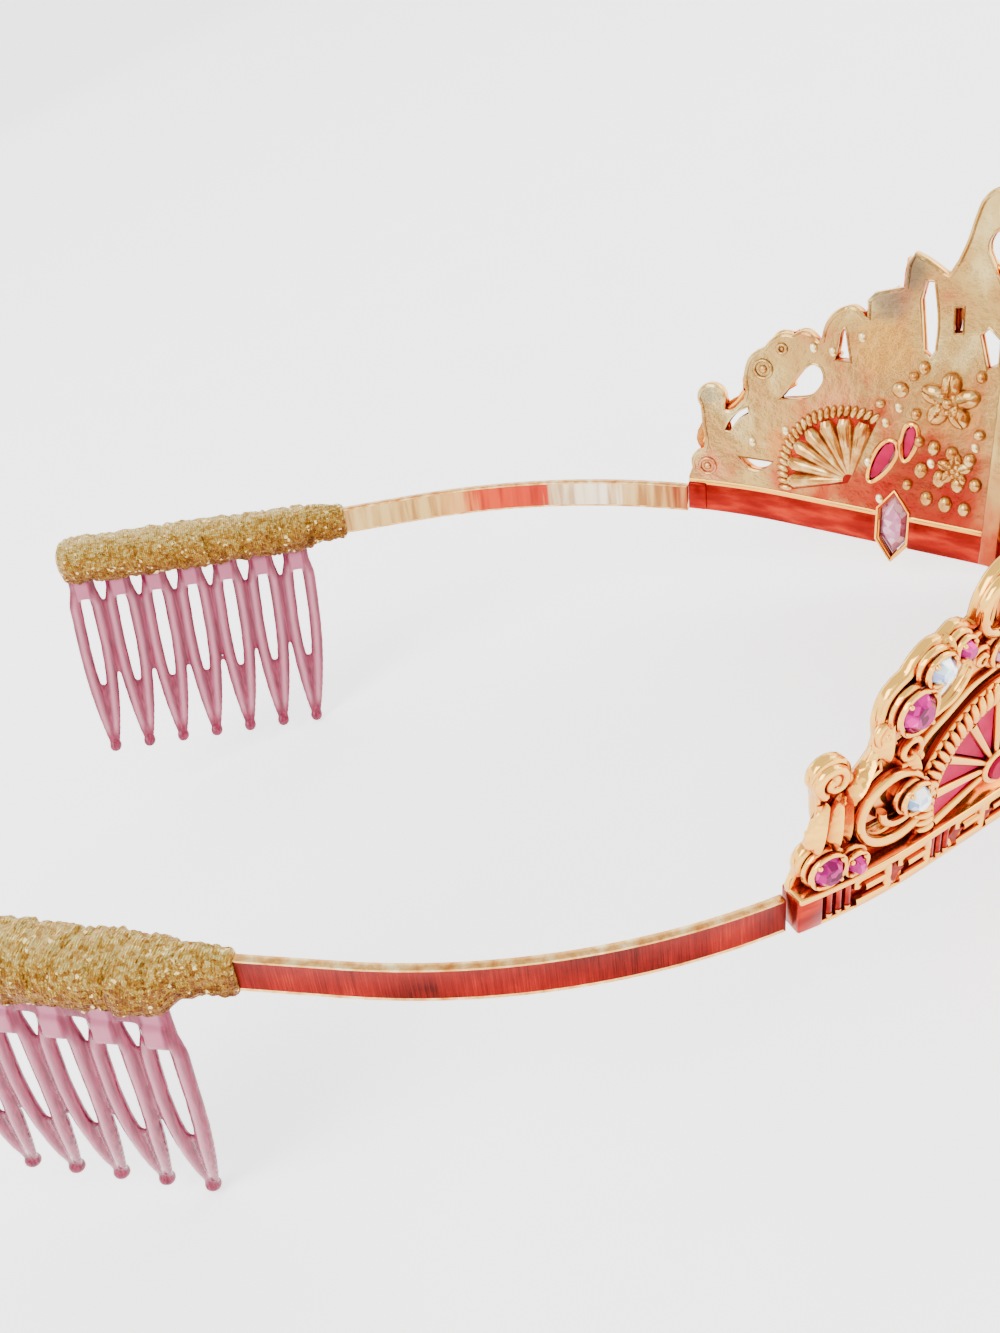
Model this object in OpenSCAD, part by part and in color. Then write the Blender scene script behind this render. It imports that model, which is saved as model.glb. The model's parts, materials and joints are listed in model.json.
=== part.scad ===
// Costume tiara: a curved openwork casting in front, two strip side bands,
// and a hair comb wound with ribbon to the end of each band.
// It stands as it would by itself: on the front comb teeth and the middle of the rail.

/* [Plan of the band] */
// Radius of the rounded nose at the front
nose_r = 28; // [24:0.5:34]
// Arc length from the middle to the end of the nose
nose_arc = 26.5; // [24:0.5:28]
// Arc length from the middle to the start of the curved side
side_start = 55.5; // [54:0.5:58]
// Radius of the curved side
side_r = 79; // [70:1:95]
// Arc length from the middle to the end of the curved side
side_end = 119; // [110:1:124]

/* [Side bands] */
// Height of the strip
band_h = 4.45; // [4:0.05:5]
// Thickness of the strip
band_t = 1.1; // [0.9:0.1:1.3]
// Arc length from the middle to where the strip leaves the casting
band_start = 72.5; // [72.5:0.5:74]
// Arc length from the middle to the end of the strip
band_end = 176.4; // [170:0.2:176.4]
// Length of the tongue held in the casting
tongue_l = 5; // [4:0.5:5.5]
// Arc length from the middle to where the strip is filed down for the winding
grip_s = 130; // [129:0.1:130.2]
// How much is filed off each side there
grip_step = 0.1; // [0.05:0.01:0.12]

/* [Front casting] */
// Thickness of the back plate
plate_t = 1.2; // [1:0.1:1.4]
// Height of the middle arch above the band's lower edge
crest_top = 60.5; // [56:0.5:64]
// Lower edge of the rail
rail_low = 0.6; // [0.4:0.1:1]
// Upper edge of the rail's ledge
rail_high = 6; // [5.6:0.1:6.2]
// How far the key pattern stands out from the middle surface
key_out = 2.2; // [2:0.1:2.5]
// How far the openwork leans outwards for each unit of height
lean_out = 0.07; // [0:0.01:0.12]
// Height of the openwork as a share of its pattern's height
crest_scale = 0.975; // [0.9:0.005:1.05]
// Arc length from the middle to the end of the casting
cast_end = 72.3; // [71.5:0.1:72.3]

/* [Fans] */
// Arc length from the middle to a fan's pivot
fan_s = 45.5; // [45:0.5:46]
// Height of a fan's pivot
fan_z = 10; // [9.6:0.2:10.4]
// Outer radius of a fan's rope rim
fan_r = 11.9; // [11.5:0.1:12.1]
// Number of enamel cells in a fan
fan_cells = 5; // [4:1:8]

/* [Combs] */
// Spacing of the teeth
tooth_pitch = 6.03; // [5.9:0.01:6.1]
// Number of teeth
teeth = 7; // [5:1:7]
// Length of a tooth from the middle of its root pad to its ball tip
tooth_l = 30.4; // [28:0.2:32]
// Thickness of the teeth
tooth_t = 1.5; // [1.3:0.1:1.7]
// Radius of a ball tip
tip_r = 1.1; // [1:0.05:1.2]
// Arc length from the middle to the first tooth
comb_s = 140.3; // [140:0.1:141]
// Distance of the comb outside the middle surface of the band
comb_out = 2.9; // [2.8:0.1:3]
// Depth of the first root pad below the band's lower edge
comb_drop = 4.97; // [4.9:0.01:5.1]
// Rise of the comb towards its rear end, in degrees
comb_rise = 2.1; // [1.8:0.1:2.3]

/* [Ribbon wraps] */
// Arc length to the front end of the narrow wound tail
tail_s = 130.7; // [130:0.1:132]
// Arc length to the front end of the wound body
body_s = 138; // [137.8:0.1:138.2]
// Arc length to the rear end of the wound body
wrap_end = 178.3; // [178:0.1:179]
// Half thickness of the wound body
wrap_half_t = 4.1; // [3.9:0.1:4.3]
// Half height of the wound body
wrap_half_h = 3.7; // [3.6:0.1:4]

/* [Hidden] */

gold = "#e0b25c";
gold_red = "#b5402c";
pink_clear = "#d98a9c";
lame = "#c9a04a";
enamel_pink = "#d9486e";
magenta = "#e0209c";
ice = "#bcd6ea";
blush = "#e2b6c4";

plate_n = plate_t / 2;
fit_gap = 0.15;      // clearance of a set piece in its seat
tongue_z = rail_low + 0.8;
tongue_h = 2.8;
rail_out = 1.5;      // how far the rail's ground stands out from the middle surface
rail_back = plate_n + 0.1;
rail_end = cast_end - 0.4;
ledge_out = 2.6;     // how far the ledge over the keys stands out
block_back = 1.1;    // how far the end block stands in behind the plate
volute_s = 58.3;
volute_z = 12.9;

function deg(a) = a * 180 / PI;

// The plan: s is the arc length from the front middle, n the distance outwards.
nose_a = deg(nose_arc / nose_r);
side_a = deg((side_end - side_start) / side_r);
flat0 = nose_r * [sin(nose_a), 1 - cos(nose_a)];
side0 = flat0 + (side_start - nose_arc) * [cos(nose_a), sin(nose_a)];
side_c = side0 + side_r * [-sin(nose_a), cos(nose_a)];
tail_a = nose_a + side_a;
tail0 = side_c + side_r * [sin(tail_a), -cos(tail_a)];

function heading(s) =
    s < nose_arc ? deg(s / nose_r) :
    s < side_start ? nose_a :
    s < side_end ? nose_a + deg((s - side_start) / side_r) : tail_a;

function middle_line(s) =
    let (h = heading(s))
    s < nose_arc ? nose_r * [sin(h), 1 - cos(h)] :
    s < side_start ? flat0 + (s - nose_arc) * [cos(h), sin(h)] :
    s < side_end ? side_c + side_r * [sin(h), -cos(h)] :
    tail0 + (s - side_end) * [cos(h), sin(h)];

function plan(s, n = 0) =
    s < 0 ? [-plan(-s, n).x, plan(-s, n).y] :
    middle_line(s) + n * [sin(heading(s)), -cos(heading(s))];

// Above this height the openwork leans outwards.
lean_z = 4;
lean_a = atan(lean_out);
function up(z) = z < lean_z ? z : lean_z + crest_scale * (z - lean_z);
function out(z) = lean_out * max(up(z) - lean_z, 0);

// Distance from the point at arc length c to the one at s, measured along the tangent at c,
// both at pattern height z.
function along(s, c, z = 0) =
    let (d = plan(s, out(z)) - plan(c, out(z))) d.x * cos(heading(c)) + d.y * sin(heading(c));

// Puts a shape drawn in x, y on the outside of the band at s and z, standing out along its z.
module at(s, z, n = 0) {
    p = plan(s, out(z));
    translate([p.x, p.y, up(z)]) rotate([0, 0, heading(s)])
        rotate([z > lean_z ? 90 + lean_a : 90, 0, 0]) translate([0, 0, n]) children();
}

// Puts a pattern drawn in arc length and height on the leaning face, about arc length c.
module face(c, n = 0) {
    p = plan(c);
    translate([p.x, p.y, lean_z]) rotate([0, 0, heading(c)]) rotate([90 + lean_a, 0, 0])
        translate([0, -lean_z, n]) children();
}

function on_face(p, c) = [along(p.x, c, p.y), lean_z + (up(p.y) - lean_z) / cos(lean_a)];

// Stations at which a wall along the band changes direction.
nose_facets = 8;
side_facets = 12;
half_stations = concat(
    [for (i = [1:nose_facets]) nose_arc * i / nose_facets],
    [for (i = [0:side_facets]) side_start + (side_end - side_start) * i / side_facets]);
stations = concat([for (i = [len(half_stations) - 1:-1:0]) -half_stations[i]], [0], half_stations);

// A bent wall from s0 to s1, between two distances outwards and two heights.
module slab(s0, s1, n0, n1, z0, z1, marks = stations) {
    rows = concat([s0], [for (s = marks) if (s > s0 + 0.2 && s < s1 - 0.2) s], [s1]);
    last = len(rows) - 1;
    translate([0, 0, z0]) linear_extrude(z1 - z0)
        polygon(concat([for (s = rows) plan(s, n1)], [for (i = [last:-1:0]) plan(rows[i], n0)]));
}

function arc(cx, cy, r, a0, a1, steps) =
    [for (i = [0:steps]) let (a = a0 + (a1 - a0) * i / steps) [cx + r * cos(a), cy + r * sin(a)]];

// Upper outline of one half of the casting, as arc length and height, from its end to the middle.
crest_outline = concat(
    [[cast_end + 3, rail_high], [cast_end, rail_high]],
    arc(69.2, 8.8, 2.7, -10, 75, 4),
    [[69.9, 13], [70.2, 16.8]],
    arc(68.5, 20, 2.3, -35, 200, 9),
    [[66, 18.4], [63.1, 20.4]],
    arc(60.3, 25.3, 3.1, -15, 105, 5),
    arc(56.3, 28, 3, 50, 110, 3),
    arc(53.3, 29, 2.4, 60, 150, 3),
    arc(47.3, 32.1, 4.5, -10, 130, 7),
    [[44.1, 38], [43.2, 38.8], [39.2, 40], [39, 44.2], [38, 44.8], [33.2, 42.5], [31.6, 45.4], [30.5, 48.4]],
    arc(26, 50.2, 4.2, 5, 150, 6),
    [[20.8, 49.3], [17.5, 48.4], [14, 49.5]],
    arc(0, crest_top - 13, 13, 22, 84, 5));

// Openings cut right through one half, each a list of arc length and height.
end_crescent = concat(arc(60.5, 13.4, 5.9, 15, 72, 4), arc(60.5, 13.4, 4.6, 68, 18, 4));
end_smile = arc(61.2, 12.7, 4.2, 213, 327, 6);
teardrop = concat([[57.4, 21.2]], arc(52.6, 25.2, 2, 55, 215, 6), [[53.4, 22]]);
arch_window = concat([[49.3, 28.7]], arc(47.7, 32, 1.5, 0, 180, 5), [[46.2, 28.6]]);
long_window = [[35.1, 30.6], [36, 31.2], [37, 38.6], [36.6, 41], [35.2, 41], [34.2, 36], [34.2, 31.6]];
short_window = [[30.7, 34.8], [32, 34.6], [32.2, 37.9], [31, 38.1]];
slant_window = [[25.6, 30.6], [27, 30], [28.4, 34.5], [27.3, 35.6], [25.7, 34.2]];
lobe_window = concat([[25.3, 39.4]], arc(26, 46.6, 2.7, -20, 200, 7));
inner_window = concat(arc(17.6, 41.6, 2.6, 20, 160, 5), [[16.6, 34.6]]);
low_window = concat(arc(19.5, 24.6, 2.4, 20, 160, 5), [[18.6, 18]]);
openings = [end_crescent, end_smile, teardrop, arch_window, long_window, short_window,
    slant_window, lobe_window, inner_window, low_window];

// Opening shared by the two halves, drawn on the nose about the middle.
top_window = concat(arc(0, crest_top - 13, 9.8, 25, 155, 8), arc(0, crest_top - 13, 6.9, 150, 30, 6));

// Stretches of the plate that the outline is cut in, each square to its own middle.
stretches = [[-0.3, nose_arc / 2], [nose_arc / 2, nose_arc], [nose_arc, side_start],
    [side_start, cast_end + 3]];
stretch_lap = 0.2;
sky = 70;            // any height above the crest

module art(points, c) {
    face(c, -5) linear_extrude(10) polygon([for (p = points) on_face(p, c)]);
}

module above_crest() {
    for (t = stretches) {
        c = (t[0] + t[1]) / 2;
        lap = [stretch_lap, 0];
        face(c, -5) linear_extrude(10) intersection() {
            polygon([for (z = [0, lean_z, sky]) on_face([t[0], z], c) - lap,
                for (z = [sky, lean_z, 0]) on_face([t[1], z], c) + lap]);
            polygon(concat([for (p = crest_outline) on_face(p, c)],
                [on_face([-1.2, crest_top + 0.4], c), on_face([-1.2, sky + 1], c),
                    on_face([cast_end + 4, sky + 1], c)]));
        }
    }
}

function mean_s(points) = [for (p = points) p.x] * [for (p = points) 1] / len(points);

// Upright foot and leaning wall of the plate, as levels of height and distance outwards.
module leaning_wall() {
    rows = concat([-rail_end], [for (s = stations) if (abs(s) < rail_end - 0.2) s], [rail_end]);
    last = len(rows) - 1;
    k = 2 * (last + 1);
    wall_top = up(crest_top + 1);
    levels = [[rail_low + 0.5, 0], [lean_z, 0], [wall_top, lean_out * (wall_top - lean_z)]];
    points = [for (l = levels)
        each concat([for (s = rows) let (p = plan(s, l[1] + plate_n)) [p.x, p.y, l[0]]],
            [for (i = [last:-1:0]) let (p = plan(rows[i], l[1] - plate_n)) [p.x, p.y, l[0]]])];
    polyhedron(points, concat([[for (i = [0:k - 1]) i], [for (i = [3 * k - 1:-1:2 * k]) i]],
        [for (b = [0, k], i = [0:k - 1]) [b + i, b + k + i, b + k + (i + 1) % k, b + (i + 1) % k]]),
        convexity = 10);
}

module plate() {
    difference() {
        leaning_wall();
        both_sides() {
            above_crest();
            for (w = openings) art(w, mean_s(w));
        }
        art(top_window, 0);
    }
}

module both_sides() {
    for (side = [0, 1]) mirror([side, 0, 0]) children();
}

// Rail with its ledge, key pattern and end block.
block_s = 69.2;      // arc length to where the end block starts
step_s = 66;         // and to where the rail's back starts to thicken towards it
key_foot = 1.4;      // distance outwards at which the raised keys start, inside the rail
ridge_pitch = 1.15;
ridge_r = 0.42;

module rail() {
    slab(-rail_end, rail_end, -rail_back, rail_out, rail_low, rail_high - 0.8);
    slab(-rail_end, rail_end, 0, ledge_out, rail_high - 0.9, rail_high);
    both_sides() {
        slab(block_s, cast_end, -block_back, key_out, rail_low - 0.1, rail_high + 0.15);
        slab(step_s, block_s + 0.8, -block_back, 0, rail_low + 0.3, rail_high - 1);
        for (s = key_units) at(s, rail_low, key_foot) linear_extrude(key_out - key_foot) key_unit();
        for (s = ridge_groups, i = [-1:1])
            at(s + ridge_pitch * i, rail_low + 0.3, key_foot)
                rotate([-90, 0, 0]) cylinder(r = ridge_r, h = rail_high - rail_low - 1, $fn = 5);
    }
}

// Pocket for the band's tongue, and the bevel at the foot of the end block.
tongue_half = 0.35;
module tongue_cut() {
    slab(band_start - tongue_l - fit_gap, cast_end + 1, -tongue_half - fit_gap, tongue_half + fit_gap,
        tongue_z - fit_gap, tongue_z + tongue_h + fit_gap);
    at(cast_end, rail_low, -3) rotate(45) square_cut(1.6);
}

module square_cut(w) {
    translate([-w / 2, -w / 2, 0]) cube([w, w, 8]);
}

key_units = [62.9, 57.1, 48.4, 43.6, 33, 28, 22.6, 17.4, 12.2, 7, 1.9];
ridge_groups = [67.4, 53];
key_bar = 0.72;

// One unit of the fret: a square turn of bars.
module key_unit() {
    w = 4.5;
    h = rail_high - rail_low - 1.3;
    translate([-w / 2, 0.4]) {
        square([w, key_bar]);
        square([key_bar, h]);
        translate([0, h - key_bar]) square([w, key_bar]);
        translate([w - key_bar, h - 2.4]) square([key_bar, 2.4]);
    }
}

// Settings for the stones, as arc length, height, half width, half height and floor.
//                s     z     rw    rh    floor
end_oval    = [68.9,  8.4,  1.75, 1.85, 1.3];
end_round   = [65.5,  7.7,  1.05, 1.15, 1.3];
volute_seat = [58.3, 12.9,  1.55, 1.55, 1.5];
crest_oval  = [59.8, 25.0,  2.05, 2.25, 1.4];
ice_oval    = [57.3, 28.9,  1.55, 1.50, 1.3];
crest_round = [54.3, 30.0,  0.95, 1.05, 1.3];
arch_seat   = [47.8, 26.2,  1.10, 1.30, 0.9];
inner_seat  = [20.5, 43.2,  1.40, 1.60, 0.9];
centre_seat = [0,    31.0,  4.20, 5.60, 1.2];
top_seat    = [0,    crest_top - 13, 2.2, 2.2, 1.0];
seats = [end_oval, end_round, volute_seat, crest_oval, ice_oval, crest_round, arch_seat, inner_seat];
bezel_w = 0.65;

// An oval polygon drawn round the true oval, so that a stone of that size goes in.
module oval(rw, rh, sides = 10) {
    scale([rw, rh]) circle(1 / cos(180 / sides), $fn = sides);
}

// The boss that a stone is set in.
module bezel(seat) {
    at(seat[0], seat[1], -0.3)
        linear_extrude(seat[4] + 1.4) oval(seat[2] + fit_gap + bezel_w, seat[3] + fit_gap + bezel_w);
}

// The hollow that takes the stone.
module seat_cut(seat) {
    at(seat[0], seat[1], seat[4]) linear_extrude(6) oval(seat[2] + fit_gap, seat[3] + fit_gap);
}

// A cut stone: a flat back, eight lower facets, eight crown facets and an eight-sided table.
function stone_ring(rw, rh, k, turn, z) =
    [for (i = [0:7]) [rw * k * cos(45 * i + turn), rh * k * sin(45 * i + turn), z]];

module cut_stone(rw, rh, h) {
    rings = concat(stone_ring(rw, rh, 0.7, 22.5, 0), stone_ring(rw, rh, 1, 22.5, h * 0.45),
        stone_ring(rw, rh, 0.6, 22.5, h));
    polyhedron(rings, concat(
        [[7, 6, 5, 4, 3, 2, 1, 0], [16, 17, 18, 19, 20, 21, 22, 23]],
        [for (k = [0, 8], i = [0:7]) [k + i, k + (i + 1) % 8, k + 8 + (i + 1) % 8, k + 8 + i]]),
        convexity = 2);
}

module set_stone(seat, h = 1.7) {
    at(seat[0], seat[1], seat[4] + fit_gap) cut_stone(seat[2], seat[3], h);
}

// Tapered scroll bar that winds in round the volute's stone, in lengths of under one turn:
// first step, last step and size. The inner length starts inside the outer one, a little thinner.
scroll_steps = 15;
scroll_lengths = [[0, 8, 1], [7, scroll_steps, 0.9]];
scroll_from = 235;
scroll_turn = 544;
function scroll_point(u) =
    let (a = scroll_from + scroll_turn * u, r = 5.6 - 3.4 * u)
    [2 - 2 * u + r * cos(a), 0.1 * u - 0.1 + r * sin(a)];
function scroll_side(u, w) =
    let (a = scroll_from + scroll_turn * u) w / 2 * [cos(a), sin(a)];

module scroll() {
    for (part = scroll_lengths) {
        rows = [for (i = [part[0]:part[1]])
            let (u = i / scroll_steps, c = scroll_point(u), w = part[2] * (1.5 - 0.5 * u),
                top = part[2] * (2.1 + 0.8 * u),
                d = scroll_side(u, w), e = scroll_side(u, w * 0.45))
            [[c.x - d.x, c.y - d.y, 0], [c.x + d.x, c.y + d.y, 0],
                [c.x + e.x, c.y + e.y, top], [c.x - e.x, c.y - e.y, top]]];
        last = 4 * (len(rows) - 1);
        polyhedron([for (r = rows) each r],
            concat([[3, 2, 1, 0], [last, last + 1, last + 2, last + 3]],
                [for (i = [0:len(rows) - 2], j = [0:3])
                    let (a = 4 * i + j, b = 4 * i + (j + 1) % 4) [a, b, b + 4, a + 4]]),
            convexity = 6);
    }
}

// A leaf with a raised midrib, lying along x from the origin.
module leaf(l, w, h) {
    base = [[0, -w * 0.3, 0], [l * 0.4, -w / 2, 0], [l, 0, 0], [l * 0.4, w / 2, 0], [0, w * 0.3, 0]];
    midrib = [[l * 0.1, 0, h], [l * 0.7, 0, h * 0.85]];
    hull() polyhedron(concat(base, midrib), [[0, 1, 2, 3, 4], [5, 1, 0], [6, 3, 2]]);
}

// Leaves: arc length, height, direction in degrees, length, width and rise.
leaves = [
    [70.2, 11, 102, 7.2, 3.4, 2.4],
    [67.6, 11.6, 108, 6.2, 2.6, 2],
    [65.6, 16.4, 150, 4.6, 2.6, 2],
    [62.6, 19.4, 94, 5.8, 2.4, 2],
    [58.7, 27.6, 100, 2.8, 2, 1.9],
    [55.8, 29.4, 95, 2, 2, 1.9],
    [43, 31, 82, 7.6, 3.6, 2],
    [40.2, 31, 84, 8.6, 3.6, 2.1],
    [37.8, 33, 80, 11, 2.4, 2.2],
    [33.4, 32, 98, 10, 2.6, 1.8],
    [29.4, 31, 80, 9.6, 2.4, 1.7],
    [23, 30, 92, 12, 3, 1.8],
    [12, 37, 75, 10, 4, 1.9],
    [14.6, 27, 60, 9.5, 4.2, 2],
    [15.6, 16, 40, 8, 4, 1.9]];

// Blossoms: arc length, height and radius.
blossoms = [
    [31.6, 24.6, 4.4],
    [29.6, 14.6, 3]];

module blossom(r) {
    for (i = [0:4])
        rotate(90 + 72 * i) translate([r * 0.56, 0, 0])
            scale([r * 0.46, r * 0.38, 1]) rotate(11) cylinder(r1 = 1.15, r2 = 0.5, h = 1.6, $fn = 5);
    cylinder(r = r * 0.25, h = 2, $fn = 6);
}

// Loops and beads: arc length, height, outer radius, inner radius and rise.
loops = [
    [59.2, 19, 1.75, 0.7, 2.05],
    [47.3, 32.1, 4.2, 3, 1.7],
    [26, 46.6, 4.1, 2.9, 1.6]];

beads = [
    [68.5, 20, 2.2], [66.7, 19.2, 1.1],
    [40.6, 21.8, 1.1], [38.6, 26, 1.3], [34.8, 12.6, 1.2],
    [24, 14.4, 1.2], [24.6, 20.4, 1.2]];

rim_w = 2.2;
rim_in = fan_r - rim_w;
hub_r = 2;
fan_from = -20;
fan_span = 130;
rope_turns = 10;
function rib_angle(i) = fan_from + fan_span * i / fan_cells;
function rib_half(r) = 0.22 + 0.035 * r;

// Fan on the plate: the ground for its cells, a rope rim and a cup at the pivot.
module fan() {
    linear_extrude(1.9)
        polygon(concat([[-1, -1]], arc(0, 0, fan_r - 0.3, fan_from, fan_from + fan_span, 9)));
    for (i = [0:rope_turns])
        rotate(fan_from + fan_span * i / rope_turns)
            translate([rim_in + 0.1, 0, 1]) rotate(16)
                linear_extrude(1.5) polygon([[0, -0.42], [rim_w, -0.6], [rim_w, 0.6], [0, 0.42]]);
    difference() {
        cylinder(r = hub_r, h = 2.8, $fn = 12);
        translate([0, 0, 2.1]) cylinder(r = 1.6, h = 2, $fn = 12);
    }
}

// One cell of the fan, drawn smaller by a gap all round.
function cell_edge(r, i, side, gap) =
    let (a = rib_angle(i) + side * deg((rib_half(r) + gap) / r)) [r * cos(a), r * sin(a)];

module fan_cell(i, gap) {
    r0 = hub_r + 0.35 + gap;
    r1 = rim_in - gap;
    polygon([cell_edge(r0, i, 1, gap), cell_edge(r1, i, 1, gap),
        r1 * [cos(rib_angle(i + 0.5)), sin(rib_angle(i + 0.5))],
        cell_edge(r1, i + 1, -1, gap), cell_edge(r0, i + 1, -1, gap)]);
}

// Hollows for the enamel; the plate stays whole behind them.
fan_floor = 0.15;
module fan_cell_cuts() {
    at(fan_s, fan_z, fan_floor) linear_extrude(9) for (i = [0:fan_cells - 1]) fan_cell(i, 0);
}

// Raised ribs on the fan's back, one behind each rib of its front.
module fan_back() {
    for (i = [0:fan_cells])
        at(fan_s, fan_z, -0.3) mirror([0, 0, 1]) rotate(rib_angle(i)) translate([1.5, 0, 0])
            leaf(rim_in, 3, 1.1);
}

module fan_enamel() {
    color(enamel_pink) at(fan_s, fan_z, 0) {
        translate([0, 0, fan_floor + fit_gap])
            linear_extrude(1.3) for (i = [0:fan_cells - 1]) fan_cell(i, fit_gap);
        translate([0, 0, 2.22]) cylinder(r = 1.4, h = 0.6);
    }
}

// Outline of a pointed petal along x, with its widest place nearer the base.
function petal_outline(l, w) =
    [for (i = [0:7]) let (a = 45 * i) [l / 2 * (1 - cos(a)), w / 2 * sin(a) * (1 - 0.25 * cos(a))]];

// Enamelled blades beside the fan: arc length, height, direction, length and width.
petals = [
    [42.3, 10.6, 115, 7.2, 2.4],
    [37.3, 14.8, 97, 5.4, 1.8]];

petal_rim = 0.5;
petal_gap = 0.22;    // clearance at a blade's ends and widest place

module petal_at(p, n) {
    at(p[0], p[1], n) rotate(p[2]) children();
}

// The blades' hollows go right through, so the enamel shows from behind.
module petal_cuts() {
    for (p = petals) petal_at(p, -3) linear_extrude(9) polygon(petal_outline(p[3], p[4]));
}

module petal_rims() {
    for (p = petals)
        petal_at(p, 0) translate([-petal_rim, 0, 0])
            linear_extrude(2.15) polygon(petal_outline(p[3] + 2 * petal_rim, p[4] + 2 * petal_rim));
}

module petal_enamel() {
    color(enamel_pink) for (p = petals)
        petal_at(p, -0.4) translate([petal_gap, 0, 0])
            linear_extrude(2) polygon(petal_outline(p[3] - 2 * petal_gap, p[4] - 2 * petal_gap));
}

// The long six-sided stone that crosses the rail, and the frame that holds it.
rail_stone_s = 38.4;
stone_outline = [[0, -1.2], [2.1, 1.7], [2.1, 6.1], [0, 8.8], [-2.1, 6.1], [-2.1, 1.7]];

module rail_stone_seat() {
    at(rail_stone_s, 0, -rail_back - 0.2)
        linear_extrude(rail_back + 2.7) difference() {
            offset(delta = 0.75) polygon(stone_outline);
            offset(delta = fit_gap) polygon(stone_outline);
        }
}

module rail_stone_hole() {
    at(rail_stone_s, 0, -5) linear_extrude(10) offset(delta = fit_gap) polygon(stone_outline);
}

module rail_stone() {
    mid = [0, 3.8];
    function ring(k, z) = [for (p = stone_outline) [mid.x + (p.x - mid.x) * k, mid.y + (p.y - mid.y) * k, z]];
    color(blush) at(rail_stone_s, 0, -0.5)
        polyhedron(concat(ring(0.62, 0), ring(1, 0.9), ring(1, 1.9), ring(0.55, 3.4)),
            concat([[5, 4, 3, 2, 1, 0], [18, 19, 20, 21, 22, 23]],
                [for (k = [0, 6, 12], i = [0:5]) [k + i, k + (i + 1) % 6, k + 6 + (i + 1) % 6, k + 6 + i]]),
            convexity = 2);
}

// Middle ornament: a lotus of plain petals under the large oval stone.
//        turn  length
lotus = [[-62, 8],
         [-31, 9.7],
         [0,   10.6],
         [31,  9.7],
         [62,  8]];
lotus_z = 10;
lotus_from = 2.2;    // distance from the lotus's root to where its petals start
lotus_top = 2.3;
cell_floor = 1.5;
cell_in = 1.3;       // how far a petal's cell lies in from the petal's ends
cell_w = 2.7;

module middle_ornament() {
    at(0, lotus_z, -0.3) {
        for (p = lotus)
            rotate(90 + p[0]) translate([lotus_from, 0, 0])
                linear_extrude(lotus_top + 0.3 - abs(p[0]) / 200) polygon(petal_outline(p[1], 4.4));
        cylinder(r = 2.9, h = 3.3, $fn = 12);
    }
    for (seat = [centre_seat, top_seat]) bezel(seat);
}

module lotus_cells() {
    for (p = lotus) lotus_cell(p, cell_floor, 4, 0);
}

// The cell of one petal, drawn smaller by a gap all round.
module lotus_cell(p, from, h, gap) {
    at(0, lotus_z, from) rotate(90 + p[0]) translate([lotus_from + cell_in + gap, 0, 0])
        linear_extrude(h) polygon(petal_outline(p[1] - 1.6 * cell_in - 2 * gap, cell_w - 2 * gap));
}

module centre_enamel() {
    color(enamel_pink) for (p = lotus) lotus_cell(p, cell_floor + fit_gap, 0.5, 0.22);
}

module motifs() {
    for (seat = seats) bezel(seat);
    at(volute_s, volute_z, 0) scroll();
    for (l = leaves) at(l[0], l[1], 0) rotate(l[2]) leaf(l[3], l[4], l[5]);
    for (b = blossoms) at(b[0], b[1], 0) blossom(b[2]);
    for (o = loops)
        at(o[0], o[1], 0) linear_extrude(o[4]) difference() {
            circle(o[2], $fn = 12);
            circle(o[3], $fn = 10);
        }
    for (b = beads) at(b[0], b[1], plate_n) sphere(b[2], $fn = 6);
    at(fan_s, fan_z, 0) fan();
    fan_back();
    petal_rims();
    rail_stone_seat();
}

module front_casting() {
    color(gold) stand() difference() {
        union() {
            plate();
            rail();
            both_sides() motifs();
            middle_ornament();
        }
        both_sides() {
            tongue_cut();
            rail_stone_hole();
            for (seat = seats) seat_cut(seat);
            fan_cell_cuts();
            petal_cuts();
        }
        for (seat = [centre_seat, top_seat]) seat_cut(seat);
        lotus_cells();
    }
}

// Strip with a tongue at its front end and a narrower end under the winding.
strip_facets = 30;
strip_stations = [for (i = [1:strip_facets]) side_start + (side_end - side_start) * i / strip_facets];
grip_half = band_t / 2 - grip_step;

module side_band() {
    color(gold_red) {
        slab(band_start, grip_s, -band_t / 2, band_t / 2, 0, band_h, strip_stations);
        slab(grip_s - 0.5, band_end, -grip_half, grip_half, grip_step, band_h - grip_step);
        slab(band_start - tongue_l, band_start + 0.5, -tongue_half, tongue_half,
            tongue_z, tongue_z + tongue_h);
    }
}

// Comb frame: x along the comb to the rear, z up, y inwards, origin at the first root pad.
module comb_frame() {
    p = plan(comb_s, comb_out);
    translate([p.x, p.y, -comb_drop]) rotate([0, 0, heading(comb_s)]) rotate([0, -comb_rise, 0]) children();
}

// Half width of a tooth at a depth below its root pad.
//            depth  half
tooth_form = [[-2,   2.3], [1.5, 2.75], [3, 3.05], [16, 3.05], [20, 2.6], [24, 2.05], [28, 1.25],
    [30.2, 0.75]];
slit_form  = [[2.4,  0.55], [5, 0.8], [11, 0.8], [15.5, 0.5], [18.8, 0.05]];
tooth_lean = 1.1;
tooth_bow_r = 160;
spine_front = -1.5;
spine_rear = 36.9;
spine_low = 1.9;
spine_top = 8.2;
spine_t = 1.4;

function bow(d) = tooth_bow_r - sqrt(tooth_bow_r * tooth_bow_r - d * d);
function lean(d) = tooth_lean * max(d, 0) / tooth_l;
function form_outline(form) = concat(
    [for (f = form) [lean(f[0]) + f[1], -f[0]]],
    [for (i = [len(form) - 1:-1:0]) [lean(form[i][0]) - form[i][1], -form[i][0]]]);

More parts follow.
